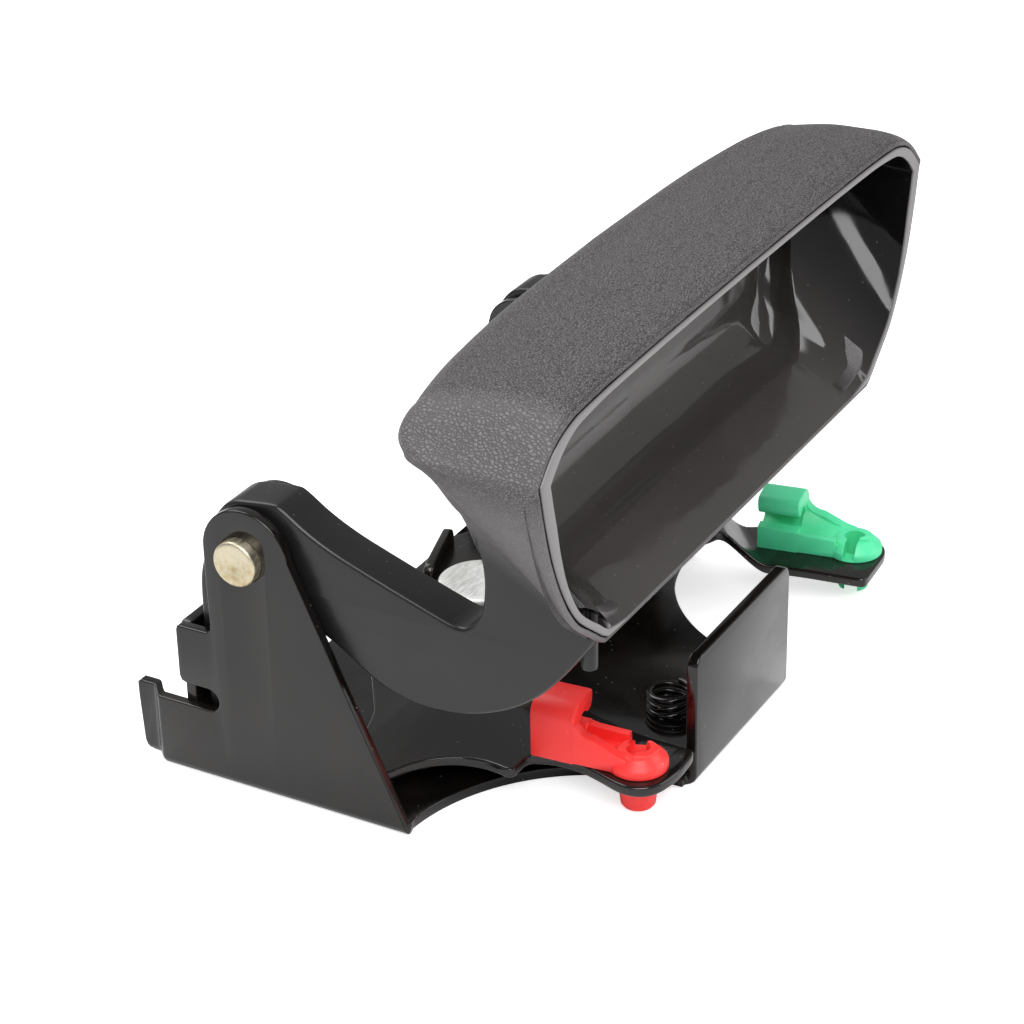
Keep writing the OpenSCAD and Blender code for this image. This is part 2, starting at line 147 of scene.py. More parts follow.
class Skin:
    """Gathers surfaces, given in millimetres, into one closed mesh."""

    def __init__(self) -> None:
        """Starts with no points and no faces."""
        self.points: list[np.ndarray] = []
        self.faces: list[np.ndarray] = []
        self.count = 0

    def add(self, points: np.ndarray, faces: np.ndarray) -> None:
        """Adds points (n, 3) and faces (m, 3 or 4) that index them."""
        self.points.append(np.asarray(points, float).reshape(-1, 3))
        self.faces.append(np.asarray(faces, int) + self.count)
        self.count += len(self.points[-1])

    def grid(self, p: np.ndarray, around: bool = False, flip: bool = False) -> None:
        """Adds a surface sampled on a grid.

        Args:
            p: points (rows, columns, 3).
            around: joins the last column to the first.
            flip: turns the faces over.
        """
        rows, cols = p.shape[:2]
        k = np.arange(rows * cols).reshape(rows, cols)
        if around:
            k = np.concatenate([k, k[:, :1]], 1)
        q = np.stack([k[:-1, :-1], k[:-1, 1:], k[1:, 1:], k[1:, :-1]], -1).reshape(-1, 4)
        self.add(p, q[:, ::-1] if flip else q)

    def fan(self, ring: np.ndarray, flip: bool = False) -> None:
        """Closes a ring of points with triangles to its mean point."""
        n = len(ring)
        i = np.arange(n)
        tri = np.stack([i, (i + 1) % n, np.full(n, n)], 1)
        self.add(np.vstack([ring, ring.mean(0)]), tri[:, ::-1] if flip else tri)

    def slab(self, outline: np.ndarray, low: float, high: float, place: np.ndarray,
             holes: tuple = (), edge: float = 0.4, steps: int = 3) -> None:
        """Adds a plate with rounded edges, bounded by an outline and its holes.

        A loop at height z is the outline set in by r - sqrt(r^2 - (z - z0)^2) near
        both faces, which gives a quarter round of radius edge.

        Args:
            outline: closed loop in the plate's own plane.
            low: height of the lower face along the plate's own third axis.
            high: height of the upper face.
            place: 3 x 4 matrix from the plate's own axes to the row frame.
            holes: closed loops cut through the plate.
            edge: radius of the rounded edges.
            steps: bands in a rounded edge.
        """
        t = np.linspace(0, np.pi / 2, steps + 1)
        gap = edge * (1 - np.sin(t))
        rise = edge * (1 - np.cos(t))
        gaps = np.concatenate([gap, gap[::-1]])
        heights = np.concatenate([low + rise, high - rise[::-1]])
        turn = np.linalg.det(place[:, :3]) < 0
        tops, bottoms = [], []
        for k, loop in enumerate((outline, *holes)):
            if area_sign(loop) < 0:
                loop = loop[::-1]
            flat = [inset(loop, g if k == 0 else -g) for g in gaps]
            p = np.stack([np.column_stack([f, np.full(len(f), z)])
                          for f, z in zip(flat, heights)])
            self.grid(p @ place[:, :3].T + place[:, 3], True, bool(turn) ^ (k > 0))
            tops.append(p[-1])
            bottoms.append(p[0])
        for loops, up in ((tops, True), (bottoms, False)):
            tri = np.array(tessellate_polygon([[Vector(v) for v in lp] for lp in loops]))
            every = np.vstack(loops)
            a, b, c = (every[tri[:, i]] for i in range(3))
            n = (b[:, 0] - a[:, 0]) * (c[:, 1] - a[:, 1]) - (b[:, 1] - a[:, 1]) * (c[:, 0] - a[:, 0])
            tri = tri[np.abs(n) > 1e-9]
            n = n[np.abs(n) > 1e-9]
            wrong = (n > 0) != (up ^ bool(turn))
            tri[wrong] = tri[wrong][:, ::-1]
            self.add(every @ place[:, :3].T + place[:, 3], tri)

    def lathe(self, profile: list, place: np.ndarray, n: int = 96) -> None:
        """Turns a profile of (radius, height) rows round its own third axis.

        The point at angle t is (r cos t, r sin t, h); rows run so that the solid is
        on the left of the profile's path seen from outside, from the foot upwards.

        Args:
            profile: rows of radius and height.
            place: 3 x 4 matrix from the lathe's own axes to the row frame.
            n: points round.
        """
        r, h = np.asarray(profile, float).T
        t = np.linspace(0, 2 * np.pi, n, endpoint=False)
        p = np.stack([np.outer(r, np.cos(t)), np.outer(r, np.sin(t)),
                      np.repeat(h[:, None], n, 1)], -1)
        self.grid(p @ place[:, :3].T + place[:, 3], True, np.linalg.det(place[:, :3]) < 0)

    def build(self, name: str, sharp: float = 38.0, weld: float = 0.004) -> bpy.types.Object:
        """Welds the surfaces into one smooth-shaded object.

        Args:
            name: name of the object and its mesh.
            sharp: angle in degrees past which an edge stays hard.
            weld: distance within which points become one.

        Returns:
            The new object, at the origin, in metres.
        """
        mesh = bpy.data.meshes.new(name)
        points = np.vstack(self.points) * MM
        faces = [f for block in self.faces for f in block.tolist()]
        mesh.from_pydata(points, [], faces)
        obj = bpy.data.objects.new(name, mesh)
        bpy.context.scene.collection.objects.link(obj)
        weld_mesh(mesh, weld * MM)
        mesh.shade_smooth()
        mesh.set_sharp_from_angle(angle=math.radians(sharp))
        return obj


def weld_mesh(mesh: bpy.types.Mesh, gap: float) -> None:
    """Merges a mesh's points that lie within gap metres, and drops empty faces."""
    bm = bmesh.new()
    bm.from_mesh(mesh)
    bmesh.ops.remove_doubles(bm, verts=bm.verts, dist=gap)
    bmesh.ops.dissolve_degenerate(bm, dist=gap * 0.1, edges=bm.edges)
    bm.to_mesh(mesh)
    bm.free()


def place_flat(z: float = 0.0) -> np.ndarray:
    """Plate lying in the XY plane, its third axis up."""
    return np.array([[1, 0, 0, 0], [0, 1, 0, 0], [0, 0, 1, z]], float)


def place_side() -> np.ndarray:
    """Plate standing in the YZ plane, its third axis along X."""
    return np.array([[0, 0, 1, 0], [1, 0, 0, 0], [0, 1, 0, 0]], float)


def place_front() -> np.ndarray:
    """Plate standing in the XZ plane, its third axis along -Y."""
    return np.array([[1, 0, 0, 0], [0, 0, -1, 0], [0, 1, 0, 0]], float)


def cut_strips(mesh: bpy.types.Mesh, cuts: list) -> None:
    """Cuts a mesh along planes, so that it can bend there.

    Args:
        mesh: mesh in metres.
        cuts: rows of a point and a direction of a plane, in millimetres.
    """
    bm = bmesh.new()
    bm.from_mesh(mesh)
    for point, normal in cuts:
        bmesh.ops.bisect_plane(bm, geom=bm.verts[:] + bm.edges[:] + bm.faces[:], dist=1e-7,
                               plane_co=Vector(point) * MM, plane_no=Vector(normal))
    bm.to_mesh(mesh)
    bm.free()


def move_points(mesh: bpy.types.Mesh, change: Callable[[np.ndarray], np.ndarray]) -> None:
    """Passes all points of a mesh, as millimetres, through a function of arrays."""
    p = np.empty(len(mesh.vertices) * 3)
    mesh.vertices.foreach_get("co", p)
    p = change(p.reshape(-1, 3) / MM) * MM
    mesh.vertices.foreach_set("co", p.ravel())
    mesh.update()


def face_outwards(mesh: bpy.types.Mesh) -> None:
    """Turns every face of a closed mesh outwards."""
    bm = bmesh.new()
    bm.from_mesh(mesh)
    bmesh.ops.recalc_face_normals(bm, faces=bm.faces)
    bm.to_mesh(mesh)
    bm.free()


def carve(obj: bpy.types.Object, tool: bpy.types.Object, kind: str = "DIFFERENCE",
          sharp: float = 38.0) -> None:
    """Cuts a closed tool out of an object, or joins it on, and drops the tool."""
    face_outwards(tool.data)
    face_outwards(obj.data)
    step = obj.modifiers.new("carve", "BOOLEAN")
    step.operation, step.object, step.solver = kind, tool, "MANIFOLD"
    bpy.context.view_layer.update()
    seen = obj.evaluated_get(bpy.context.evaluated_depsgraph_get())
    mesh = bpy.data.meshes.new_from_object(seen)
    obj.modifiers.clear()
    old, obj.data = obj.data, mesh
    bpy.data.meshes.remove(old)
    bpy.data.objects.remove(tool)
    mesh.shade_smooth()
    mesh.set_sharp_from_angle(angle=math.radians(sharp))


def ease_edges(obj: bpy.types.Object, radius: float, angle: float = 32.0, segments: int = 2) -> None:
    """Rounds an object's sharper edges by a radius in millimetres."""
    step = obj.modifiers.new("eased_edges", "BEVEL")
    step.width, step.segments, step.limit_method = radius * MM, segments, "ANGLE"
    step.angle_limit = math.radians(angle)
    step.use_clamp_overlap = True
    step.harden_normals = False


# ---------------------------------------------------------------- materials

class Nodes:
    """Short hand for adding nodes to a material or a group."""

    def __init__(self, tree: bpy.types.NodeTree) -> None:
        """Keeps the tree that nodes go into."""
        self.tree = tree

    def add(self, kind: str, inputs: dict | None = None, **settings: object) -> bpy.types.Node:
        """Adds a node.

        Args:
            kind: the node's type, without its ShaderNode prefix.
            inputs: socket name or number, against a value or a socket to link.
            settings: properties of the node.

        Returns:
            The node.
        """
        node = self.tree.nodes.new("ShaderNode" + kind if not kind.startswith("Node") else kind)
        for key, value in settings.items():
            setattr(node, key, value)
        for key, value in (inputs or {}).items():
            if isinstance(value, bpy.types.NodeSocket):
                self.tree.links.new(value, node.inputs[key])
            else:
                node.inputs[key].default_value = value
        return node

    def math(self, kind: str, a: object, b: object = 0.0, clamp: bool = False) -> bpy.types.NodeSocket:
        """Output of a Math node over two values or sockets."""
        return self.add("Math", {0: a, 1: b}, operation=kind, use_clamp=clamp).outputs[0]

    def ramp(self, value: object, low: float, high: float, to_low: float = 0.0,
             to_high: float = 1.0) -> bpy.types.NodeSocket:
        """Output of a Map Range node from low..high to to_low..to_high, smooth and clamped."""
        node = self.add("MapRange", {0: value, 1: low, 2: high, 3: to_low, 4: to_high},
                        interpolation_type="SMOOTHSTEP")
        return node.outputs[0]

    def mix(self, share: object, a: object, b: object) -> bpy.types.NodeSocket:
        """Output of a colour mix of a and b by share."""
        node = self.add("Mix", data_type="RGBA")
        for key, value in ((0, share), (6, a), (7, b)):
            if isinstance(value, bpy.types.NodeSocket):
                self.tree.links.new(value, node.inputs[key])
            else:
                node.inputs[key].default_value = (*value, 1.0)[:4] if key else value
        return node.outputs[2]


def make_group(name: str, inputs: dict, outputs: tuple) -> tuple:
    """Makes a shader node group.

    Args:
        name: name of the group.
        inputs: number inputs and their defaults.
        outputs: names of the number outputs.

    Returns:
        The group, its Nodes, its input node and its output node.
    """
    tree = bpy.data.node_groups.new(name, "ShaderNodeTree")
    for key, value in inputs.items():
        made = tree.interface.new_socket(key, in_out="INPUT", socket_type="NodeSocketFloat")
        made.default_value = value
    for key in outputs:
        tree.interface.new_socket(key, in_out="OUTPUT", socket_type="NodeSocketFloat")
    return (tree, Nodes(tree), tree.nodes.new("NodeGroupInput"), tree.nodes.new("NodeGroupOutput"))


def group_handling() -> bpy.types.NodeTree:
    """Group of the marks that every surface has.

    Returns:
        Group with Smudge (broad soft variation), Specks (sparse dust) and Fine
        (close noise), each 0 to 1.
    """
    tree, n, into, out = make_group("handling_marks", {"Speck Size": 1500.0, "Smudge Size": 38.0},
                                    ("Smudge", "Specks", "Fine"))
    at = n.add("TexCoord").outputs["Object"]
    smudge = n.add("TexNoise", {"Vector": at, "Scale": into.outputs["Smudge Size"], "Detail": 5.0,
                                "Roughness": 0.62, "Distortion": 0.6})
    spot = n.add("TexVoronoi", {"Vector": at, "Scale": into.outputs["Speck Size"]}, feature="F1")
    pick = n.add("SeparateColor", {0: spot.outputs["Color"]})
    rare = n.math("GREATER_THAN", pick.outputs[0], 0.985)
    size = n.ramp(spot.outputs["Distance"], 0.32, 0.12)
    fine = n.add("TexNoise", {"Vector": at, "Scale": 900.0, "Detail": 3.0, "Roughness": 0.6})
    n.tree.links.new(n.ramp(smudge.outputs[0], 0.35, 0.68), out.inputs["Smudge"])
    n.tree.links.new(n.math("MULTIPLY", rare, size), out.inputs["Specks"])
    n.tree.links.new(fine.outputs[0], out.inputs["Fine"])
    return tree


def group_leather() -> bpy.types.NodeTree:
    """Group of the moulded leather grain.

    Pebbles are the smooth step of the distance to the edges of Voronoi cells, on
    coordinates warped by noise, so that no row or column shows.

    Returns:
        Group with Pebble and Fine Pebble heights, 0 to 1.
    """
    tree, n, into, out = make_group("leather_grain", {"Pebble Size": 1380.0, "Fine Size": 1950.0},
                                    ("Pebble", "Fine Pebble"))
    at = n.add("TexCoord").outputs["Object"]
    warp = n.add("TexNoise", {"Vector": at, "Scale": 420.0, "Detail": 2.0})
    pull = n.add("VectorMath", {0: warp.outputs["Color"], 1: (0.0011, 0.0011, 0.0011)},
                 operation="MULTIPLY")
    moved = n.add("VectorMath", {0: at, 1: pull.outputs[0]}, operation="ADD")
    long = n.add("Mapping", {"Vector": moved.outputs[0], "Scale": (1.0, 0.78, 1.2),
                             "Rotation": (0.5, 0.3, 0.2)})
    for size, name in (("Pebble Size", "Pebble"), ("Fine Size", "Fine Pebble")):
        cell = n.add("TexVoronoi", {"Vector": long.outputs[0], "Scale": into.outputs[size]},
                     feature="DISTANCE_TO_EDGE")
        n.tree.links.new(n.ramp(cell.outputs["Distance"], 0.0, 0.34), out.inputs[name])
    return tree


class Surface:
    """A material being made: its Principled shader and the nodes that feed it."""

    def __init__(self, name: str, base: dict) -> None:
        """Starts a material.

        Args:
            name: name of the material.
            base: plain values for the shader's own sockets.
        """
        self.material = bpy.data.materials.new(name + "_look")
        self.material.use_nodes = True
        tree = self.material.node_tree
        self.n = Nodes(tree)
        self.shader = tree.nodes["Principled BSDF"]
        for key, value in base.items():
            self.shader.inputs[key].default_value = value
        self.marks = self.n.add("Group", node_tree=bpy.data.node_groups["handling_marks"])

    def feed(self, **sockets: bpy.types.NodeSocket) -> None:
        """Links sockets to the shader's inputs; an underscore stands for a space."""
        for key, value in sockets.items():
            self.n.tree.links.new(value, self.shader.inputs[key.replace("_", " ")])

    def bump(self, height: object, depth_mm: float, normal: object = None) -> bpy.types.NodeSocket:
        """Normal output of a Bump node of that depth in millimetres."""
        inputs = {"Height": height, "Distance": depth_mm * MM, "Strength": 1.0}
        if normal is not None:
            inputs["Normal"] = normal
        return self.n.add("Bump", inputs).outputs[0]

    def where(self) -> bpy.types.Node:
        """Separate XYZ of the object coordinates, in metres."""
        return self.n.add("SeparateXYZ", {0: self.n.add("TexCoord").outputs["Object"]})


@dataclass(frozen=True)
class PaintedSteel:
    """Gloss black dip paint on stamped steel."""

    name: str
    colour: tuple = (0.0036, 0.0032, 0.0030)
    warm: tuple = (0.0085, 0.0066, 0.0055)
    roughness: float = 0.10

    def make(self) -> bpy.types.Material:
        """Builds the paint: clouded colour, orange peel, smudges and dust."""
        s = Surface(self.name, {"Coat Weight": 0.1, "Coat Roughness": 0.06, "IOR": 1.48})
        m = s.marks.outputs
        tint = s.n.mix(m["Smudge"], self.colour, self.warm)
        s.feed(Base_Color=s.n.mix(s.n.math("MULTIPLY", m["Specks"], 0.5), tint, (0.30, 0.29, 0.27)),
               Roughness=s.n.ramp(m["Smudge"], 0.0, 1.0, self.roughness, self.roughness + 0.13))
        peel = s.n.add("TexNoise", {"Vector": s.n.add("TexCoord").outputs["Object"], "Scale": 420.0,
                                    "Detail": 2.0})
        low = s.bump(peel.outputs[0], 0.010)
        s.feed(Normal=s.bump(m["Specks"], 0.02, low))
        return s.material


@dataclass(frozen=True)
class GrainedPlastic:
    """Charcoal moulding with leather grain that fades out down the neck."""

    name: str
    colour: tuple = (0.146, 0.1375, 0.1395)
    # colour of the painted shade in the grain's grooves
    groove_shade: tuple = (0.026, 0.0243, 0.0246)
    smooth_colour: tuple = (0.0098, 0.0092, 0.0096)

    def make(self) -> bpy.types.Material:
        """Builds the moulding: pebbles strongest on the end facets, none on the arms, the grooves between
        pebbles darkened by painted shade.
        """
        s = Surface(self.name, {"IOR": 1.46})
        n, m = s.n, s.marks.outputs
        g = n.add("Group", node_tree=bpy.data.node_groups["leather_grain"]).outputs
        xyz = s.where().outputs
        side = n.math("ABSOLUTE", xyz[0])
        facet = n.math("MULTIPLY", n.ramp(side, 0.074, 0.083), n.ramp(xyz[2], 0.1005, 0.1035))
        # grain stops along a slanting line below the neck
        line = n.math("ADD", xyz[2], n.math("MULTIPLY", xyz[1], -0.52))
        grained = n.ramp(line, 0.082, 0.092)
        top = n.ramp(xyz[2], 0.092, 0.106, 0.45, 1.0)
        cells = n.math("ADD", n.math("MULTIPLY", g["Pebble"], facet),
                       n.math("MULTIPLY", g["Fine Pebble"], n.ramp(facet, 0.0, 1.0, 1.0, 0.0)))
        depth = n.math("MULTIPLY", grained, top)
        height = n.math("ADD", n.math("MULTIPLY", cells, depth), n.math("MULTIPLY", m["Fine"], 0.05))
        tint = n.mix(grained, self.smooth_colour, self.colour)
        # painted shade: the grooves between the pebbles are darkened in colour, most on the top and least on
        # the end facets, for the shade that the bumps would cast
        groove = n.math("MULTIPLY", n.ramp(cells, 0.8, 0.0), n.ramp(facet, 0.0, 1.0, 0.95, 0.62))
        groove = n.math("MULTIPLY", groove, n.ramp(xyz[2], 0.088, 0.104, 0.35, 1.0))
        tint = n.mix(n.math("MULTIPLY", groove, grained), tint, self.groove_shade)
        s.feed(Base_Color=n.mix(n.math("MULTIPLY", m["Specks"], 0.35), tint, (0.28, 0.27, 0.26)),
               Roughness=n.math("ADD", n.ramp(m["Smudge"], 0.0, 1.0, 0.0, 0.09),
                                n.ramp(grained, 0.0, 1.0, 0.28, 0.42)),
               Normal=s.bump(height, 0.15))
        return s.material


@dataclass(frozen=True)
class GlossPlastic:
    """Polished black lining with a satin rim."""

    name: str
    colour: tuple = (0.048, 0.0435, 0.042)
    # colour of the painted shade towards both ends of the pocket
    ends: tuple = (0.004, 0.0037, 0.0037)
    rim: tuple = (0.185, 0.177, 0.178)

    def make(self) -> bpy.types.Material:
        """Builds the lining: mirror gloss inside, darkened towards both ends by painted shade, duller and
        lighter on the front rim.
        """
        s = Surface(self.name, {"IOR": 1.5})
        n, m = s.n, s.marks.outputs
        xyz = s.where().outputs
        front = n.ramp(xyz[1], -0.0518, -0.0522)
        # painted shade: the pocket's colour darkens towards both ends, where little light reaches
        away = n.ramp(n.math("ABSOLUTE", xyz[0]), 0.048, 0.078)
        tint = n.mix(n.math("MULTIPLY", m["Smudge"], 0.5), self.colour, (0.055, 0.050, 0.047))
        tint = n.mix(away, tint, self.ends)
        tint = n.mix(front, tint, self.rim)
        wave = n.add("TexNoise", {"Vector": n.add("TexCoord").outputs["Object"], "Scale": 95.0,
                                  "Detail": 1.0})
        rough = n.ramp(m["Smudge"], 0.0, 1.0, 0.055, 0.14)
        rough = n.math("ADD", rough, n.math("MULTIPLY", front, 0.30))
        s.feed(Base_Color=n.mix(n.math("MULTIPLY", m["Specks"], 0.4), tint, (0.25, 0.24, 0.23)),
               Roughness=rough, Normal=s.bump(wave.outputs[0], 0.12))
        return s.material


@dataclass(frozen=True)
class ZincPlate:
    """Zinc plated steel, clear or yellow passivated."""

    name: str
    colour: tuple
    stain: tuple
    roughness: float = 0.34

    def make(self) -> bpy.types.Material:
        """Builds the plating: clouded colour, fine scratches and dull patches."""
        s = Surface(self.name, {"Metallic": 1.0})
        n, m = s.n, s.marks.outputs
        at = n.add("TexCoord").outputs["Object"]
        drag = n.add("Mapping", {"Vector": at, "Scale": (260.0, 1900.0, 600.0), "Rotation": (0.3, 0.2, 0.5)})
        scratch = n.add("TexNoise", {"Vector": drag.outputs[0], "Scale": 1.0, "Detail": 4.0})
        blot = n.ramp(n.math("MULTIPLY", m["Smudge"], m["Fine"]), 0.18, 0.52)
        s.feed(Base_Color=n.mix(blot, self.colour, self.stain),
               Roughness=n.ramp(scratch.outputs[0], 0.3, 0.75, self.roughness, self.roughness + 0.2),
               Normal=s.bump(scratch.outputs[0], 0.012, s.bump(m["Fine"], 0.02)))
        return s.material


@dataclass(frozen=True)
class ClipNylon:
    """Dyed nylon of the rod clips, slightly translucent."""

    name: str
    colour: tuple
    deep: tuple

    def make(self) -> bpy.types.Material:
        """Builds the nylon: soft colour drift, flow lines and a satin skin."""
        s = Surface(self.name, {"Subsurface Weight": 0.25, "Subsurface Scale": 0.002,
                                "Subsurface Radius": (1.0, 0.5, 0.3), "IOR": 1.5})
        n, m = s.n, s.marks.outputs
        drift = n.mix(n.math("MULTIPLY", m["Smudge"], 0.55), self.colour, self.deep)
        s.feed(Base_Color=n.mix(n.math("MULTIPLY", m["Specks"], 0.3), drift, (0.9, 0.85, 0.8)),
               Roughness=n.ramp(m["Smudge"], 0.0, 1.0, 0.33, 0.46),
               Normal=s.bump(m["Fine"], 0.02))
        return s.material


class Finish(Enum):
    """The finishes, named as the record's material slots."""

    BRACKET_PAINT = PaintedSteel("bracket_paint")
    # painted light: a lighter copy of the bracket's black paint, so that the levers' tops read as lit
    LEVER_PAINT = PaintedSteel("lever_paint", (0.0060, 0.0054, 0.0052), roughness=0.09)
    SPRING_BLACK = PaintedSteel("spring_black", roughness=0.14)
    GRIP_PLASTIC = GrainedPlastic("grip_plastic")
    LINER_PLASTIC = GlossPlastic("liner_plastic")
    PIN_ZINC = ZincPlate("pin_zinc", (0.62, 0.56, 0.42), (0.50, 0.40, 0.22))
    RIVET_ZINC = ZincPlate("rivet_zinc", (0.93, 0.94, 0.92), (0.80, 0.81, 0.78), 0.46)
    SPACER_STEEL = ZincPlate("spacer_steel", (0.46, 0.46, 0.45), (0.34, 0.33, 0.31))
    CLIP_RED = ClipNylon("clip_red", (1.0, 0.045, 0.040), (0.90, 0.022, 0.022))
    CLIP_GREEN = ClipNylon("clip_green", (0.11, 0.80, 0.42), (0.05, 0.62, 0.28))

    def material(self) -> bpy.types.Material:
        """The finish's material, made the first time that it is asked for."""
        return bpy.data.materials.get(self.value.name + "_look") or self.value.make()


def dress(obj: bpy.types.Object, body: str, finish: Finish, *nodes: str) -> bpy.types.Object:
    """Gives a piece its finish, its body and the nodes that it stands for.

    Args:
        obj: the piece.
        body: body that it rides on.
        finish: its finish.
        nodes: construction nodes that it replaces.

    Returns:
        The piece.
    """
    obj.data.materials.clear()
    obj.data.materials.append(finish.material())
    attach(obj, body)
    if nodes:
        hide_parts(*nodes)
    LOG.info("%s rides on %s, %d faces", obj.name, body, len(obj.data.polygons))
    return obj


# ---------------------------------------------------------------- handle

@dataclass
class Handle:
    """The pivoting handle: grained shell, gooseneck arms and glossy pocket lining."""

    half: float = 90.4
    wall: float = 1.5
    band: float = 4.2
    arm_in: float = 54.5
    arm_out: float = 65.0
    stations: int = 150
    band_low: list = field(default_factory=lambda: [
        [0, 1.42], [54, 1.42], [59, 2.0], [64, 2.9], [68, 3.0], [77, 2.9], [82, 3.2], [86, 4.0],
        [88.5, 4.6], [90.4, 4.6]])
    floor_low: list = field(default_factory=lambda: [
        [0, 1.42], [54, 1.42], [59, 2.0], [63, 2.8], [66, 4.2], [70, 5.2], [74, 4.9], [77.5, 3.6],
        [79.5, 3.05], [82, 3.2], [86, 4.0], [88.5, 4.6], [90.4, 4.6]])
    band_top: list = field(default_factory=lambda: [
        [0, 2.5], [60, 2.6], [76, 3.2], [84, 4.2], [90.4, 4.6]])
    rim_low: list = field(default_factory=lambda: [
        [0, 0], [63.5, 0], [66, 1.2], [69, 3.6], [73, 6.8], [76.5, 10], [81, 16.4], [85.5, 26],
        [88.5, 36], [90.4, 44.6]])
    rim_top: list = field(default_factory=lambda: [
        [0, 56.4], [30, 56.3], [54, 56], [74, 55.2], [80, 53.9], [83.5, 52.3], [87, 49.6],
        [89, 47.6], [90.4, 46.2]])
    back_top: list = field(default_factory=lambda: [
        [0, 56.3], [40, 56.2], [60, 55.8], [75, 54.6], [80, 53.2], [84, 50.6], [87.5, 47.8],
        [90.4, 46.3]])
    back_low: list = field(default_factory=lambda: [
        [0, 3.5], [56, 4], [62, 9], [65, 16], [68, 21.5], [71.3, 25.4], [76, 31.7], [83, 39.7],
        [88, 44], [90.4, 45.2]])
    back_depth: list = field(default_factory=lambda: [
        [0, 43.5], [30, 44], [59.5, 45.7], [75, 47.4], [83, 48.8], [87, 51.5], [90.4, 58]])
    arm: list = field(default_factory=lambda: [
        [36.5, 66.2], [33.5, 68.2], [31, 68.6], [23.6, 69.6], [21.6, 69.0], [16.5, 65.3],
        [9.8, 61.9], [-2.1, 57.6], [-15.1, 53.2], [-19.2, 52.0], [-21.6, 52.7], [-23.8, 54.8],
        [-25.2, 58.4], [-25.6, 66.5], [-23, 76], [-40, 80], [-50.6, 72], [-50.4, 58],
        [-49.2, 55.9], [-46.3, 51.7], [-42.5, 46.6], [-38.3, 41.9], [-34.9, 39.0], [-31.4, 36.6],
        [-27.4, 34.5], [-23.2, 32.9], [-19.2, 31.8], [-15, 31.2], [-11.4, 31.0], [-7.9, 31.2],
        [-4.3, 32.0], [-0.9, 33.2], [2.6, 35.1], [6.1, 37.4], [11, 40.8], [17, 43.6], [24, 44.8],
        [30, 43.2], [33.4, 39.6], [34.8, 34], [34.8, 17.6], [35.8, 15.4], [37.8, 14.3],
        [39.8, 14.3], [41.8, 15.2], [43, 17.2], [43.4, 20], [43.4, 46], [42.9, 49.8], [41.6, 54],
        [39.9, 61]])

    def mouth(self, low: list, top: list) -> tuple:
        """Front outline set in by distances that may change along it.

        A disc of the distance's radius rolls along each edge and the inner outline is
        the discs' envelope: the greatest edge(x0) + sqrt(g(x0)^2 - (x - x0)^2).

        Args:
            low: table of the distance from the lower edge against the station.
            top: the same for the upper edge.

        Returns:
            Places along X, lower heights and upper heights above the base.
        """
        at = np.linspace(0, self.half, 905)
        away = (at[:, None] - at[None]) ** 2
        edges = []
        for table, gap, side in ((self.rim_low, low, 1), (self.rim_top, top, -1)):
            g = smooth_table(gap, at)
            room = g[None] ** 2 - away
            rolled = side * smooth_table(table, at)[None] + np.sqrt(np.maximum(room, 0))
            edges.append(side * np.where(room >= 0, rolled, -1e3).max(1))
        end = at[edges[1] - edges[0] > 0.35].max()
        u = np.linspace(-1, 1, 2 * self.stations + 1)
        x = end * (0.4 * u + 0.6 * np.sin(np.pi * u / 2))
        return x, PIVOT_Z + np.interp(np.abs(x), at, edges[0]), PIVOT_Z + np.interp(np.abs(x), at, edges[1])

    def even(self, gap: float) -> list:
        """Table of a distance that stays the same."""
        return [[0, gap], [self.half, gap]]

    def mouth_loop(self, low: list, top: list | None = None) -> np.ndarray:
        """The outline as one loop in X and Z, anticlockwise from the front."""
        x, z0, z1 = self.mouth(low, top or low)
        return np.vstack([np.column_stack([x, z0]), np.column_stack([x, z1])[::-1]])

    def form(self, d: float, front: float, low: list, top: list, foot: float = 5.0) -> np.ndarray:
        """Grip form set in by d, open at the front.

        At each station across the grip a section runs from the lower front edge back
        along the underside, round the rear foot, up the slanted rear wall, round the
        rear shoulder and forward over the crowned top, which rolls down to the front edge
        as a quarter of an ellipse.

        Args:
            d: wall thickness that the form is set in by.
            front: Y of its open edge.
            low: table of the distance from the lower front edge.
            top: table of the distance from the upper front edge.
            foot: greatest radius of the rear foot.

        Returns:
            Points (stations, section, 3).
        """
        x, zf0, zf1 = self.mouth(low, top)
        a = np.minimum(np.abs(x) * self.half / (self.half - d), self.half)
        bl, bt = smooth_table(self.back_low, a), smooth_table(self.back_top, a)
        mid, half = PIVOT_Z + (bl + bt) / 2, np.maximum((bt - bl) / 2 - d, 0.2)
        zb0, zb1, h = mid - half, mid + half, 2 * half
        yb = PIVOT_Y - smooth_table(self.back_depth, a) - d
        r, rb = np.minimum(8.5, 0.42 * h), np.minimum(foot, 0.3 * h)
        yl = yb - 7 * np.minimum(1, h / 50)
        crown = 1.75 * np.minimum(1, h / 20)
        one = np.ones_like(x)[:, None]

        def part(y: np.ndarray, z: np.ndarray) -> np.ndarray:
            """Stacks a stretch of the section with its stations."""
            return np.stack([x[:, None] * np.ones_like(y), y, z], -1)

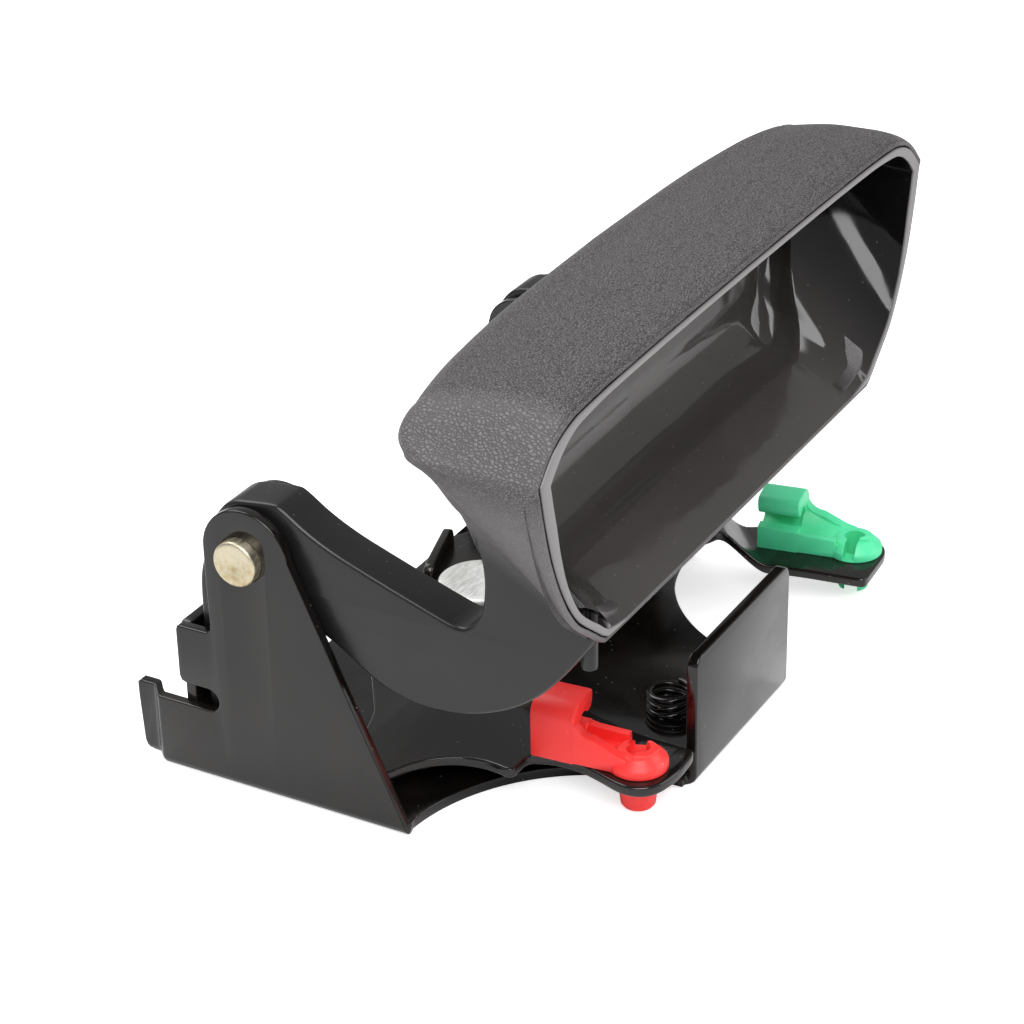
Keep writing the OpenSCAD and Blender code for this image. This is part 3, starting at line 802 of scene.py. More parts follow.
        c = lambda v: v[:, None]
        t = np.linspace(0, 1, 34)[:-1][None]
        under = part(front + t * (c(yl - rb) - front), c(zf0) + t * c(zb0 - zf0))
        q = np.linspace(-np.pi / 2, 0, 13)[:-1][None]
        heel = part(c(yl - rb) + c(rb) * np.cos(q), c(zb0 + rb) + c(rb) * np.sin(q))
        t = np.linspace(0, 1, 22)[:-1][None]
        wall = part(c(yl) + t * c(yb - yl), c(zb0 + rb) + t * c(zb1 - r - zb0 - rb))
        q = np.linspace(0, np.pi / 2, 17)[:-1][None]
        shoulder = part(c(yb - r) + c(r) * np.cos(q), c(zb1 - r) + c(r) * np.sin(q))
        t = 1 - (1 - np.linspace(0, 1, 44)[None]) ** 1.7
        swell = np.where(t < 0.5, np.sin(np.pi * t), np.sqrt(1 - np.clip((t - 0.76) / 0.24, 0, 1) ** 2))
        roof = part(c(yb - r) + t * (front - c(yb - r)) * one,
                    c(zb1) + t * c(zf1 - zb1) + c(crown) * swell)
        return np.concatenate([under, heel, wall, shoulder, roof], 1)

    def band_rows(self, rows: list, seed: float = 0.0) -> np.ndarray:
        """Loops of the front rim, each set in by a distance at a depth.

        Args:
            rows: distance in from the outline, Y, and how much the distance wavers.
            seed: shift of the wavering.

        Returns:
            Points (rows, loop, 3).
        """
        u = np.linspace(0, 2 * np.pi, 4 * self.stations + 2, endpoint=False)
        waver = sum(np.sin(k * u + 1.7 * k + seed) / (1 + 0.02 * k) for k in (11, 23, 37, 61, 83, 117))
        waver = np.clip(waver / 3, -1, 1)[:, None]
        out = []
        for gap, y, amount in rows:
            p = self.mouth_loop(self.even(gap))
            if amount:
                p = p + (self.mouth_loop(self.even(gap + 0.2)) - p) * waver * amount / 0.2
            out.append(np.column_stack([p[:, 0], np.full(len(p), y), p[:, 1]]))
        return np.stack(out)

    def build_shell(self) -> bpy.types.Object:
        """Grained outer shell: the form, its rolled front edge and its inner wall."""
        skin = Skin()
        edge = RIM_Y + 0.7
        outer = self.form(0.0, edge, self.even(0), self.even(0))
        skin.grid(outer, flip=True)
        skin.fan(outer[0], flip=True)
        skin.fan(outer[-1])
        rows = [(0.0, edge, 0), (0.06, edge - 0.35, 0), (0.22, edge - 0.6, 0), (0.5, edge - 0.7, 0),
                (0.95, edge - 0.68, 0.10), (1.18, edge - 0.5, 0.16), (1.25, edge + 1.6, 0.16),
                (1.3, edge + 2.2, 0)]
        skin.grid(self.band_rows(rows), True)
        back = self.band_rows([(1.3, edge + 2.2, 0), (0.6, edge + 2.4, 0), (0.0, edge + 2.4, 0)])
        skin.grid(back, True)
        return dress(skin.build("grip_shell"), "handle", Finish.GRIP_PLASTIC, "handle_body")

    def build_liner(self) -> bpy.types.Object:
        """Glossy pocket, its satin rim band and the lens-shaped slot in the near corner.

        The band's rows are blends of the seam's loop and the band's inner loop; in the
        near lower corner a groove, deeper where the two inner loops are further apart,
        parts the band from the pocket's floor.
        """
        skin = Skin()
        y = RIM_Y - 0.4
        seam = self.mouth_loop(self.even(1.36))
        inner = self.mouth_loop(self.band_low, self.band_top)
        floor = self.mouth_loop(self.floor_low, self.band_top)
        floor = np.where(floor[:, :1] < 0, floor, inner)
        side = np.abs(floor[:, 0])
        apart = smooth_table(self.floor_low, side) - smooth_table(self.band_low, side)
        deep = 3.2 * np.clip(apart / 0.9, 0, 1) * (np.arange(len(side)) < len(side) // 2)
        deep = deep * (floor[:, 0] < 0)
        rows = []
        for share, depth in ((0, 3.0), (0.02, 0.7), (0.07, 0.25), (0.16, 0.03), (0.3, 0), (0.92, 0),
                             (0.985, 0.04), (1, 0.16)):
            p = seam + (inner - seam) * share
            rows.append(np.column_stack([p[:, 0], np.full(len(p), y + depth), p[:, 1]]))
        for share, depth in ((0.03, 0.3 + deep), (0.97, 0.3 + deep), (1, 0.42 + 0 * deep)):
            p = inner + (floor - inner) * share
            rows.append(np.column_stack([p[:, 0], y + depth, p[:, 1]]))
        skin.grid(np.stack(rows), True)
        near = self.form(self.band, y + 0.42, self.floor_low, self.band_top, 13.0)
        far = self.form(self.band, y + 0.42, self.band_low, self.band_top, 13.0)
        pocket = np.where(near[..., :1] < 0, near, far)
        skin.grid(pocket)
        skin.fan(pocket[0])
        skin.fan(pocket[-1], flip=True)
        return dress(skin.build("pocket_lining"), "handle", Finish.LINER_PLASTIC, "pocket_liner")

    def pocket_tool(self) -> bpy.types.Object:
        """Closed solid of the pocket's wall space, to cut the arms with."""
        skin = Skin()
        p = self.form(2.4, RIM_Y - 6, self.even(2.4), self.even(2.4))
        skin.grid(p, flip=True)
        skin.fan(p[0], flip=True)
        skin.fan(p[-1])
        low, top = p[:, 0], p[:, -1]
        lid = np.stack([low, top], 1)
        skin.grid(lid)
        return skin.build("pocket_tool")

    def build_arms(self) -> None:
        """Gooseneck arms, rounded slabs between the pivot and the grip; the near one has a post."""
        outline = soften(self.arm, 2.2)
        for side, sign in SIDES:
            skin = Skin()
            place = place_side()
            place[0, 2] = sign
            skin.slab(outline, self.arm_in, self.arm_out, place,
                      (circle(PIVOT_Y, PIVOT_Z, 5.18),), edge=0.9, steps=4)
            if sign < 0:
                at = place_flat()
                at[0, 3], at[1, 3] = -60, -46.2
                skin.lathe([[0, 47.7], [1.3, 47.7], [1.6, 47.9], [1.7, 48.3], [1.8, 59], [0, 59]], at, 40)
            arm = skin.build(f"{side}_arm")
            carve(arm, self.pocket_tool())
            dress(arm, "handle", Finish.GRIP_PLASTIC, "handle_body")

    def build(self) -> None:
        """Builds and dresses every piece of the handle."""
        self.build_shell()
        self.build_liner()
        self.build_arms()


# ---------------------------------------------------------------- bracket

@dataclass
class Bracket:
    """Stamped bracket: one folded blank, two webs and two inner cheeks."""

    ear_in: float = 66.0
    sheet: float = 2.5
    bend: float = 3.93
    rim_y: float = -52.0
    flange_half: float = 23.25
    flange_top: float = 31.5
    cut_x: float = 68.5
    cut_y: float = -50.0
    cut_r: float = 43.5
    ear_back: list = field(default_factory=lambda: [
        [39.3, 57], [39.1, 39], [39.25, 37.6], [40.2, 36.85], [47.0, 36.8], [47.8, 36.5],
        [48.1, 35.7], [48.1, 24.6], [47.6, 23.3], [46.4, 22.9], [41.0, 22.9]])
    ear_tail: list = field(default_factory=lambda: [
        [41.0, 17.5], [54.2, 17.5], [56.6, 18.2], [60.9, 18.2], [61.55, 17.6], [61.5, 14.0],
        [60.9, 3.2], [60.2, 1.6], [58.8, 0.9], [54.2, 0.5], [36.2, 0.35], [35.1, 0.7], [34.3, 0.9],
        [33.7, 0.4], [32.9, 0.0]])

    def up(self, z: np.ndarray) -> np.ndarray:
        """Place along the flat blank of a height z on the ear."""
        return self.ear_in + self.bend * np.minimum(z, 2.5) / 2.5 + np.maximum(z - 2.5, 0)

    def blank(self, head_r: float) -> np.ndarray:
        """Right half of the flat blank's outline, from the flange to the rear edge.

        Args:
            head_r: radius of the ear's round top.

        Returns:
            Points (n, 2) of the half outline.
        """
        top = self.rim_y + 2.5 - self.bend - (self.flange_top - 2.5)
        c = np.linspace(-np.pi / 2, 0, 9)
        corner = np.column_stack([self.flange_half - 3 + 3 * np.cos(c), top + 3 + 3 * np.sin(c)])
        rows = [corner, [[self.flange_half, self.rim_y + 1.2], [self.flange_half + 0.5, self.rim_y + 2.2],
                         [25.0, self.rim_y + 2.4]]]
        a = np.radians(np.linspace(179.2, 95.0, 60))
        rows.append(np.column_stack([self.cut_x + self.cut_r * np.cos(a), self.cut_y + self.cut_r * np.sin(a)]))
        rows.append([[self.ear_in - 0.4, -6.9], [self.ear_in + 1.6, -7.35], [self.ear_in + self.bend, -6.7]])
        head = np.radians(np.linspace(176, -4, 40))
        y, z = 39.3 - head_r + head_r * np.cos(head), 58 + head_r * np.sin(head)
        rows.append(np.column_stack([self.up(z), y]))
        back = np.array(self.ear_back)
        rows.append(np.column_stack([self.up(back[:, 1]), back[:, 0]]))
        slot = np.radians(np.linspace(100, 260, 17))
        rows.append(np.column_stack([self.up(20.2 + 2.7 * np.sin(slot)), 41 + 2.7 * np.cos(slot)]))
        tail = np.array(self.ear_tail)
        rows.append(np.column_stack([self.up(tail[:, 1]), tail[:, 0]]))
        rows.append([[self.ear_in - 0.3, 33.2], [self.ear_in - 0.6, 34.2], [self.ear_in - 0.6, 47.6],
                     [self.ear_in - 1.2, 48.1]])
        p = np.vstack([np.asarray(r, float) for r in rows])
        keep = np.linalg.norm(p - np.roll(p, 1, 0), axis=1) > 0.02
        return p[keep]

    def fold(self, p: np.ndarray) -> np.ndarray:
        """Folds the flat blank up into ears and front flange.

        A point past a bend line by s turns by s / bend of a right angle round a line
        one sheet above the underside; past the bend it goes straight on, and the
        tongue behind each ear steps inwards by 2.7 mm.
        """
        x, y, n = p.T.copy()
        side, s = np.sign(x), np.abs(x) - self.ear_in
        turn = np.clip(s / self.bend, 0, 1) * np.pi / 2
        r = self.sheet - n
        on = s > 0
        far = np.maximum(s - self.bend, 0)
        xx = np.where(on, self.ear_in + r * np.sin(turn), np.abs(x))
        zz = np.where(on, self.sheet - r * np.cos(turn) + far, n)
        step = np.clip((y - 53.8) / 3.6, 0, 1)
        xx = np.where(on & (y > 53.8), xx - 2.7 * step * step * (3 - 2 * step), xx)
        start = self.rim_y + self.sheet
        s = start - y
        on = (s > 0) & (np.abs(x) < self.flange_half + 0.8)
        turn = np.clip(s / self.bend, 0, 1) * np.pi / 2
        far = np.maximum(s - self.bend, 0)
        yy = np.where(on, start - r * np.sin(turn), y)
        zz = np.where(on, self.sheet - r * np.cos(turn) + far, zz)
        return np.stack([side * xx, yy, zz], 1)

    def build_folded(self) -> bpy.types.Object:
        """Base plate, ears, tongues and flange as one folded sheet."""
        outline = np.vstack([self.blank(9.3), self.blank(10.3)[::-1] * [-1, 1]])
        pins = [circle(sgn * self.up(np.array(PIVOT_Z)), PIVOT_Y, 5.15) for _, sgn in SIDES]
        skin = Skin()
        skin.slab(outline, 0, self.sheet, place_flat(), (*pins, circle(4, 16, 6.1)), edge=0.35, steps=3)
        mesh_object = skin.build("folded_bracket")
        cuts = []
        for k in np.linspace(0, 1, 7):
            cuts += [((sgn * (self.ear_in + k * self.bend), 0, 0), (1, 0, 0)) for _, sgn in SIDES]
            cuts.append(((0, self.rim_y + self.sheet - k * self.bend, 0), (0, 1, 0)))
            cuts.append(((0, 53.8 + 3.6 * k, 0), (0, 1, 0)))
        cut_strips(mesh_object.data, cuts)
        move_points(mesh_object.data, self.fold)
        mesh_object.data.shade_smooth()
        mesh_object.data.set_sharp_from_angle(angle=math.radians(34))
        return mesh_object

    def build_hangers(self) -> bpy.types.Object:
        """Web behind each arm and the inner cheek that carries the pin's inner end."""
        skin = Skin()
        for _, sign in SIDES:
            side, front = place_side(), place_front()
            side[0, 2] = sign
            cheek = soften([[48.0, 36.8], [48.0, 20.5], [30, 20.5], [22, 34], [19.4, 57], [21.6, 64],
                            [27, 67.2], [33, 67.2], [38.4, 64], [40.0, 58], [39.6, 36.8]], 1.6, 3)
            skin.slab(cheek, 51.0, 53.5, side, (circle(PIVOT_Y, PIVOT_Z, 5.15),), edge=0.35)
            web = np.array([[52.2, 0.3], [66.4, 0.3], [66.4, 36.8], [52.2, 36.8]]) * [sign, 1]
            skin.slab(soften(web[::int(sign)], 0.5, 2), -48.1, -45.6, front, edge=0.35)
        return skin.build("bracket_hangers", 34)

    def build(self) -> None:
        """Builds and dresses the bracket."""
        dress(self.build_folded(), "base", Finish.BRACKET_PAINT, "bracket")
        dress(self.build_hangers(), "base", Finish.BRACKET_PAINT, "bracket")
        skin = Skin()
        at = place_flat()
        at[0, 3], at[1, 3] = -1.5, -35.0
        skin.lathe([[0, 2.2], [3.6, 2.2], [3.4, 2.9], [2.9, 4.3], [2.5, 4.7], [0, 4.75]], at, 48)
        dress(skin.build("coil_boss"), "base", Finish.BRACKET_PAINT, "bracket")


# ---------------------------------------------------------------- levers

@dataclass
class Levers:
    """The two stamped bell cranks on the rivet."""

    low: float = 7.6
    high: float = 14.6
    thick: float = 2.4
    pivot: tuple = (4.0, 16.0)
    left_tab: tuple = (-35.0, -44.2)
    right_tab: tuple = (71.2, -47.5)
    left: list = field(default_factory=lambda: [
        [-42.2, -21.8], [-49.2, -21.8], [-48.3, -16], [-48.8, -12.2], [-50, -8.5], [-52.2, -5.2],
        [-54.7, -2.7], [-57.8, -0.7], [-61.3, 0.7], [-62.8, 2.2], [-63.2, 4.5], [-62.4, 13],
        [-54.6, 13], [-51, 13.6], [-42, 16.5], [-33, 22.6], [-28, 26.1], [-22.5, 24.7],
        [-10, 27.5], [0, 29.4], [9, 28.3], [15, 22.8], [17, 15], [14.5, 7], [8, 2], [-2, -3],
        [-11, -10], [-18, -19], [-21.6, -28.2], [-23.2, -35], [-23.9, -41], [-24, -51.1],
        [-24.8, -52.1], [-26.3, -52.6], [-32.8, -52.9], [-37.1, -52.3], [-40.4, -51.2],
        [-42.6, -49.2], [-43.6, -46.4], [-43.4, -43.5], [-41.5, -38], [-40.3, -33.5], [-40.1, -28]])
    right: list = field(default_factory=lambda: [
        [-9.5, 14], [-8.5, 24], [-5, 27.6], [0, 29.2], [2, 29.4], [22, 35.2], [32, 30], [44, 29.6],
        [54, 34.6], [61.8, 34.6], [62.5, 33.6], [62.5, 8], [64.6, 0], [67.0, -10], [70.6, -19.8],
        [76.4, -30], [79.4, -40], [79.8, -47.5], [78.4, -51], [76, -53.4], [73, -54.6],
        [60.2, -55.4], [59.2, -54.8], [58.9, -53.4], [57.4, -42], [55.9, -34], [54.8, -31.2],
        [54.2, -20.5], [50.4, -19.2], [42, -14], [32, -7], [22, -0.5], [12, 3.6], [4, 4.2],
        [-3, 5.4], [-7.5, 9]])

    def joggle(self, p: np.ndarray) -> np.ndarray:
        """Drops the right lever's outer end from the upper to the lower level.

        The drop is a smooth step of the distance past the line through
        (54, -20.5) and (67, -10), over 10.5 mm.
        """
        n = np.array([10.5, -13.0])
        n = n / np.linalg.norm(n)
        d = (p[:, :2] - [54.0, -20.4]) @ n
        t = np.clip((d + 0.6) / 10.5, 0, 1)
        q = p.copy()
        q[:, 2] -= (self.high - self.low) * (0.25 * t + 0.75 * t * t * (3 - 2 * t))
        return q

    def build_left(self) -> bpy.types.Object:
        """Lower lever with the red clip's tab and a low turned-up lip."""
        skin = Skin()
        outline = soften(self.left, 1.1, 3)
        holes = (circle(*self.pivot, 6.06), circle(*self.left_tab, 3.4, 32))
        skin.slab(outline, self.low, self.low + self.thick, place_flat(), holes, edge=0.55, steps=4)
        pad = soften([[-62.4, self.low + 0.2], [-54.6, self.low + 0.2], [-54.6, 12.5], [-62.4, 12.5]], 1.2, 3)
        skin.slab(pad, -13.0, -10.6, place_front(), edge=0.45)
        return skin.build("lower_bell_crank")

    def build_right(self) -> bpy.types.Object:
        """Upper lever, joggled down to the green clip's tab, its rib and pad turned up."""
        skin = Skin()
        outline = soften(self.right, 1.1, 3)
        holes = (circle(*self.pivot, 6.06), circle(*self.right_tab, 3.4, 32))
        skin.slab(outline, self.high, self.high + self.thick, place_flat(), holes, edge=0.55, steps=4)
        lever = skin.build("upper_bell_crank")
        n = (10.5, -13.0, 0)
        unit = np.array(n) / np.linalg.norm(n)
        cut_strips(lever.data, [(tuple(np.array([54.0, -20.4, 0]) + unit * d), n)
                                for d in np.linspace(-0.6, 9.9, 14)])
        move_points(lever.data, self.joggle)
        lever.data.shade_smooth()
        lever.data.set_sharp_from_angle(angle=math.radians(38))
        extra = Skin()
        pad = soften([[54, self.high + 0.2], [61.8, self.high + 0.2], [61.8, 23.9], [54, 23.9]], 1.2, 3)
        extra.slab(pad, -34.6, -32.2, place_front(), edge=0.45)
        turn = math.radians(16.2)
        rib = np.array([[math.cos(turn), 0, math.sin(turn), 1], [math.sin(turn), 0, -math.cos(turn), 27.0],
                        [0, 1, 0, 0]])
        extra.slab(soften([[0.4, 15], [21.2, 15], [21.2, 21], [0.4, 21]], 1.5, 3), -2.2, 0, rib, edge=0.45)
        carve(lever, extra.build("turned_up"), "UNION")
        return lever

    def build(self) -> None:
        """Builds and dresses both levers."""
        dress(self.build_left(), "lower_lever", Finish.LEVER_PAINT, "left_lever")
        dress(self.build_right(), "upper_lever", Finish.LEVER_PAINT, "right_lever")


# ---------------------------------------------------------------- fasteners

@dataclass
class Fasteners:
    """Pins, rivet, spacer and coil."""

    pin_r: float = 5.1
    pin_out: float = 71.2
    rivet: list = field(default_factory=lambda: [
        [0, 0.0], [7.0, 0.0], [7.2, 0.05], [6, 1.2], [6, 2.5], [8.9, 2.5], [9, 2.6], [9, 7.4],
        [8.9, 7.55], [6, 7.6], [6, 17.3], [9.3, 17.3], [9.62, 17.5], [9.7, 17.8], [9.7, 18.9],
        [9.6, 19.25], [9.3, 19.5], [8.9, 19.6], [6.5, 19.5], [3.0, 19.42], [0, 19.4]])

    def build_pins(self) -> None:
        """Staked pivot pins: a rough dished outer face and a broad inner head."""
        r, x = self.pin_r, self.pin_out
        profile = [[0, 48.8], [6.6, 48.8], [7.1, 49.1], [7.2, 49.5], [7.2, 50.6], [6.9, 51], [r, 51],
                   [r, x - 0.75], [r - 0.06, x - 0.45], [r - 0.25, x - 0.18], [r - 0.6, x - 0.03],
                   [r - 1.0, x], [r - 1.6, x - 0.1], [2.6, x - 0.18], [1.9, x - 0.3], [1.0, x - 0.55],
                   [0.4, x - 0.62], [0, x - 0.6]]
        for side, sign in SIDES:
            place = np.array([[0, 0, sign, 0], [1, 0, 0, PIVOT_Y], [0, 1, 0, PIVOT_Z]], float)
            skin = Skin()
            skin.lathe(profile, place, 96)
            dress(skin.build(f"{side}_pivot_pin"), "base", Finish.PIN_ZINC, f"{side}_pin")

    def build_rivet(self) -> None:
        """Shouldered rivet with the broad head, and the ring between the levers."""
        at = place_flat()
        at[0, 3], at[1, 3] = 4.0, 16.0
        skin = Skin()
        skin.lathe(self.rivet, at, 128)
        dress(skin.build("bell_crank_rivet"), "base", Finish.RIVET_ZINC, "lever_rivet")
        ring = Skin()
        ring.lathe([[6.05, 10.0], [9.2, 10.0], [9.45, 10.2], [9.5, 10.5], [9.5, 14.1], [9.4, 14.45],
                    [9.1, 14.6], [6.05, 14.6], [6.05, 10.0]], at, 96)
        dress(ring.build("lever_ring"), "base", Finish.SPACER_STEEL, "lever_spacer")

    def build_coil(self) -> None:
        """Coil of round wire, its end turns laid flat.

        The centre line is (r cos t, r sin t, z(t)), with z held at both ends; a circle
        of the wire's radius is carried along it in the radial and upright directions.
        """
        turns, r, w, low, high = 3.0, 4.6, 0.68, 2.5, 8.2
        u = np.linspace(0, 1, 301)
        t = 2 * np.pi * turns * u
        z = low + w + (high - low - 2 * w) * np.clip((u - 0.12) / 0.76, 0, 1)
        b = np.linspace(0, 2 * np.pi, 14, endpoint=False)[None]
        reach = r + w * np.cos(b)
        p = np.stack([-1.5 + reach * np.cos(t)[:, None], -35 + reach * np.sin(t)[:, None],
                      z[:, None] + w * np.sin(b) * np.ones_like(t)[:, None]], -1)
        skin = Skin()
        skin.grid(p, True)
        skin.fan(p[0])
        skin.fan(p[-1], flip=True)
        dress(skin.build("base_coil"), "base", Finish.SPRING_BLACK, "base_spring")

    def build(self) -> None:
        """Builds and dresses every fastener."""
        self.build_pins()
        self.build_rivet()
        self.build_coil()


# ---------------------------------------------------------------- rod clips

@dataclass
class RodClip:
    """Nylon clip that snaps into a lever's tab and holds a bent rod.

    It is drawn with the tab hole at its origin, the tab's top at height 0, the hook
    towards +Y and the hook's mouth towards +X, then turned into place.
    """

    name: str
    node: str
    body: str
    finish: Finish
    hole: tuple
    turn: float
    mirrored: bool
    long_stem: bool
    level: float = 10.0
    reach: float = 22.5
    thick: float = 2.4

    def place(self) -> np.ndarray:
        """3 x 4 matrix from the clip's own axes to the row frame."""
        c, s = math.cos(math.radians(self.turn)), math.sin(math.radians(self.turn))
        f = -1.0 if self.mirrored else 1.0
        return np.array([[c * f, -s, 0, self.hole[0]], [s * f, c, 0, self.hole[1]], [0, 0, 1, self.level]])

    def hook(self) -> np.ndarray:
        """Outline of the hook block in X and height, with the rod seat in it."""
        arch = np.radians(np.linspace(175, 92, 14))
        outer = np.column_stack([-0.9 + 4.3 * np.cos(arch), 9.3 + 4.3 * np.sin(arch)])
        seat = np.radians(np.linspace(38, 326, 40))
        inner = np.column_stack([0.6 + 2.5 * np.cos(seat), 7.2 + 2.5 * np.sin(seat)])
        return np.vstack([[[-5.2, 0.0]], outer, [[3.9, 13.45], [4.7, 13.1], [5.15, 12.4], [5.2, 11.4],
                          [4.9, 10.1], [4.3, 9.1], [3.5, 8.75]], inner, [[3.6, 5.75], [5.0, 5.5], [5.2, 5.2],
                          [5.2, 0.0]]])

    def hollow_slope(self, place: np.ndarray, near: float) -> Skin:
        """Solid whose top falls as a hollow curve from the tall wall to the open side.

        Its height is low + (tall(y) - low) (1 - u)^2.6, with u going from 0 at the wall
        to 1 at the open side and tall(y) rising towards the hook.
        """
        y, u = np.linspace(3.0, near + 0.5, 12), np.linspace(0, 1, 14)
        tall = 4.4 + 4.2 * np.clip((y - 3.0) / (near - 2.5), 0, 1) ** 1.5
        top = 3.3 + (tall[:, None] - 3.3) * (1 - u[None]) ** 2.6
        x = np.broadcast_to(-2.8 + 7.9 * u, top.shape)
        rows = np.stack([x, np.broadcast_to(y[:, None], top.shape), top], -1)
        under = rows[:, [-1, 0]] * [1, 1, 0] + [0, 0, 0.1]
        p = np.concatenate([rows, under], 1) @ place[:, :3].T + place[:, 3]
        skin = Skin()
        skin.grid(p, True)
        skin.fan(p[0])
        skin.fan(p[-1], flip=True)
        return skin

    def build(self) -> None:
        """Builds the clip, rounds its edges and dresses it."""
        place = self.place()
        side = place[:, :3] @ np.array([[0, 0, 1], [1, 0, 0], [0, 1, 0]])
        side = np.column_stack([side, place[:, 3]])
        end = place[:, :3] @ np.array([[1, 0, 0], [0, 0, -1], [0, 1, 0]])
        end = np.column_stack([end, place[:, 3]])
        near = self.reach - 10.0
        skin = Skin()
        skin.slab(self.hook(), -self.reach, -near, end, edge=0.32)
        body = skin.build(self.name)
        rise = np.linspace(0, np.pi / 2, 9)
        slope = np.column_stack([near + 0.4 - 4.4 + 4.4 * np.sin(rise), 11.3 - 4.4 * np.cos(rise)])
        wall = np.vstack([[[0.6, 0.1], [0.6, 3.7], [3.0, 4.3]], slope, [[near + 0.6, 0.1]]])
        parts = []
        for outline, low, high in ((wall, -5.2, -2.5),
                                   (np.array([[0.5, 0.1], [near + 0.6, 0.1], [near + 0.6, 2.4], [0.5, 2.4]]),
                                    -5.1, 5.1),
                                   (np.array([[3.3, 0.1], [near + 0.6, 0.1], [near + 0.6, 5.4],
                                              [near - 1.8, 4.9], [3.5, 4.7]]), 3.3, 5.2)):
            part = Skin()
            part.slab(outline, low, high, side, edge=0.28)
            parts.append(part)
        if not self.long_stem:
            parts.append(self.hollow_slope(place, near))
        cap = Skin()
        cap.lathe([[0, 0.0], [6.3, 0.0], [6.5, 0.25], [6.5, 1.5], [6.35, 1.95], [5.6, 2.6], [4.9, 3.3],
                   [4.4, 3.85], [3.9, 4.0], [0, 4.0]], place, 72)
        parts.append(cap)
        stem = Skin()
        if self.long_stem:
            profile = [[0, -9.6], [2.9, -9.6], [3.4, -9.4], [3.75, -8.9], [4.5, -2.5], [4.5, -2.42],
                       [3.34, -2.4], [3.34, 0.4], [0, 0.4]]
        else:
            profile = [[0, -9.4], [3.1, -9.4], [3.5, -9.1], [4.15, -2.6], [4.2, -2.42], [3.34, -2.4],
                       [3.34, 0.4], [0, 0.4]]
        stem.lathe(profile, place, 64)
        parts.append(stem)
        for k, part in enumerate(parts):
            carve(body, part.build(f"{self.name}_{k}"), "UNION")
        bore = Skin()
        bore.lathe([[0, -11], [2.5, -11], [2.5, 5.5], [0, 5.5]], place, 40)
        carve(body, bore.build("bore"))
        slot = Skin()
        gate, sill = (([[0, -0.6], [9, -1.6], [9, 3.0], [1.2, 3.0]], 0.9) if self.long_stem else
                      ([[0, -1.4], [9, -1.4], [9, 1.4], [0, 1.4]], 0.35))
        slot.slab(np.array(gate), sill, 5.5, place, edge=0.05)
        carve(body, slot.build("slot"))
        if not self.long_stem:
            split = Skin()
            split.slab(np.array([[-6, -1.7], [6, -1.7], [6, 1.7], [-6, 1.7]]), -10.6, -2.41, place, edge=0.05)
            carve(body, split.build("split"))
        horn = Skin()
        a = np.radians(np.linspace(-170, -24, 25) if self.long_stem else np.linspace(-78, -35, 9))
        wide = 2.75 + 1.7 * np.minimum(1, (a[-1] + 0.05 - a) / 0.9)
        outer = np.column_stack([wide * np.cos(a), wide * np.sin(a)])
        inner = np.column_stack([2.6 * np.cos(a), 2.6 * np.sin(a)])[::-1]
        horn.slab(np.vstack([outer, inner]), 3.0, 4.9, place, edge=0.25)
        carve(body, horn.build("horn"), "UNION")
        ease_edges(body, 0.18, 40)
        dress(body, self.body, self.finish, self.node)


# ---------------------------------------------------------------- stage

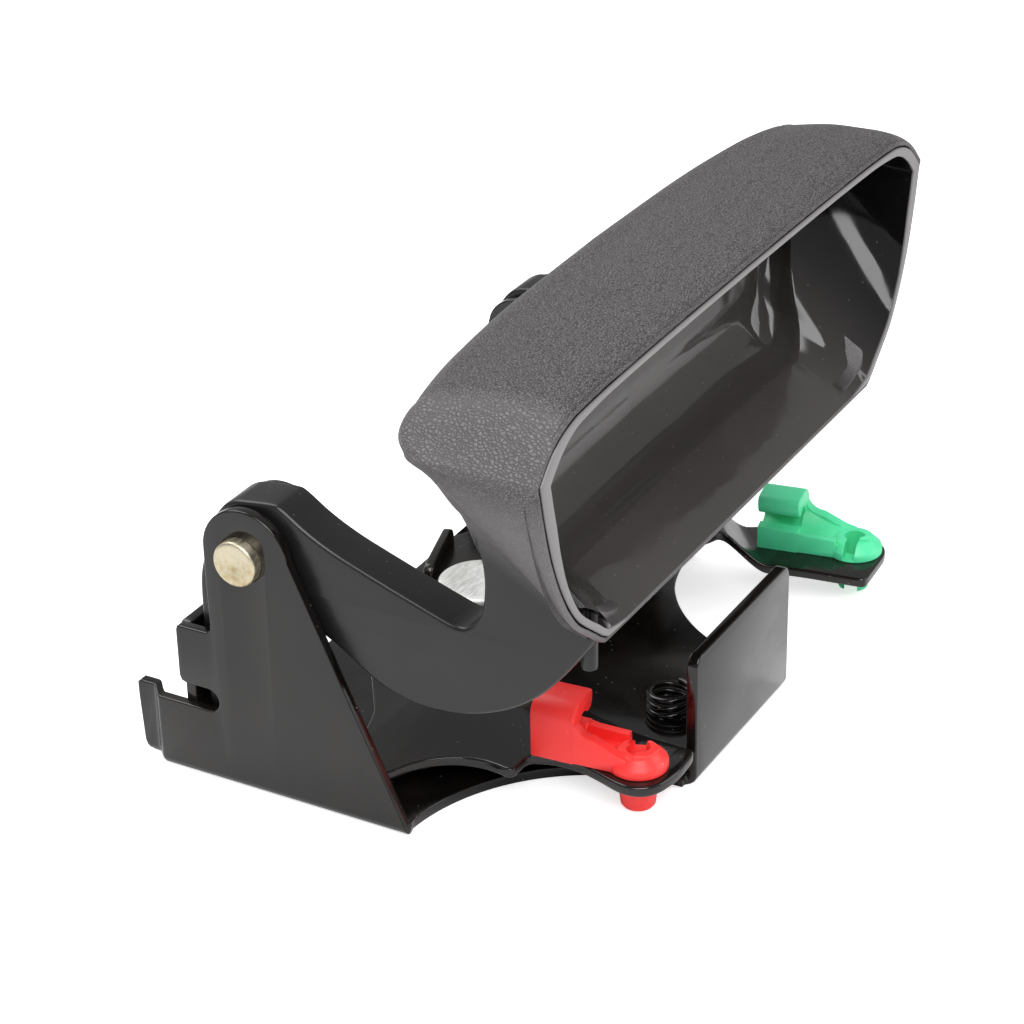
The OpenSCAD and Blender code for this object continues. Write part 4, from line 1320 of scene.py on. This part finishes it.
def build_stage() -> None:
    """White floor and world, and soft studio lamps at a plain level."""
    scene = bpy.context.scene
    world = bpy.data.worlds.new("studio")
    world.use_nodes = True
    n = Nodes(world.node_tree)
    back = world.node_tree.nodes["Background"]
    path = n.add("LightPath").outputs
    seen = n.math("MAXIMUM", path["Is Camera Ray"], path["Is Transmission Ray"])
    n.tree.links.new(n.math("ADD", n.math("MULTIPLY", seen, 0.62), 0.38), back.inputs["Strength"])
    back.inputs["Color"].default_value = (1, 1, 1, 1)
    scene.world = world

    mesh = bpy.data.meshes.new("floor")
    g = np.array([[-3, -3, 0], [3, -3, 0], [3, 3, 0], [-3, 3, 0]], float)
    mesh.from_pydata(g, [], [[0, 1, 2, 3]])
    floor = bpy.data.objects.new("floor", mesh)
    scene.collection.objects.link(floor)
    material = bpy.data.materials.new("floor_white")
    material.use_nodes = True
    n = Nodes(material.node_tree)
    shader = material.node_tree.nodes["Principled BSDF"].inputs
    shader["Roughness"].default_value = 0.9
    shader["Base Color"].default_value = (0.92, 0.92, 0.92, 1)
    shader["Emission Color"].default_value = (1, 1, 1, 1)
    glow = n.math("MULTIPLY", n.add("LightPath").outputs["Is Camera Ray"], 0.62)
    material.node_tree.links.new(glow, shader["Emission Strength"])
    floor.data.materials.append(material)

    for name, place, size, power in (
            ("key_panel", (-0.55, -0.35, 0.90), 0.8, 12.0),
            ("fill_panel", (0.55, -0.95, 0.45), 0.6, 3.5),
            ("back_panel", (0.15, 0.75, 0.95), 0.8, 7.0)):
        lamp = bpy.data.lights.new(name, "AREA")
        lamp.shape, lamp.size, lamp.energy = "SQUARE", size, power
        obj = bpy.data.objects.new(name, lamp)
        aim = Vector((0, 0, 0.06)) - Vector(place)
        obj.matrix_world = Matrix.Translation(place) @ aim.to_track_quat("-Z", "Y").to_matrix().to_4x4()
        scene.collection.objects.link(obj)


def build_camera() -> None:
    """Camera at the photograph's place, turned by its three axes."""
    lens = bpy.data.cameras.new("camera")
    lens.lens, lens.sensor_width = 103.14, 36.0
    lens.clip_start, lens.clip_end = 0.01, 20.0
    camera = bpy.data.objects.new("camera", lens)
    right = Vector((0.48749, -0.87289, -0.02056))
    up = Vector((0.42045, 0.21404, 0.88171))
    turn = Matrix((right, up, right.cross(up))).transposed().to_4x4()
    camera.matrix_world = Matrix.Translation((-0.4964, -0.2795, 0.3473)) @ turn
    bpy.context.scene.collection.objects.link(camera)
    bpy.context.scene.camera = camera


def main() -> None:
    """Builds the classes in order and reports each piece."""
    logging.basicConfig(level=logging.INFO, format="%(message)s")
    bpy.context.scene.view_settings.view_transform = "Standard"
    build_camera()
    build_stage()
    group_handling()
    group_leather()
    red = RodClip("red_rod_clip", "left_clip", "red_clip", Finish.CLIP_RED, (-35.0, -44.2), 4.5, False, True)
    green = RodClip("green_rod_clip", "right_clip", "green_clip", Finish.CLIP_GREEN, (71.2, -47.5), 9.7,
                    True, False)
    for part in (Handle(), Bracket(), Levers(), Fasteners(), red, green):
        part.build()


if __name__ == "__main__":
    main()
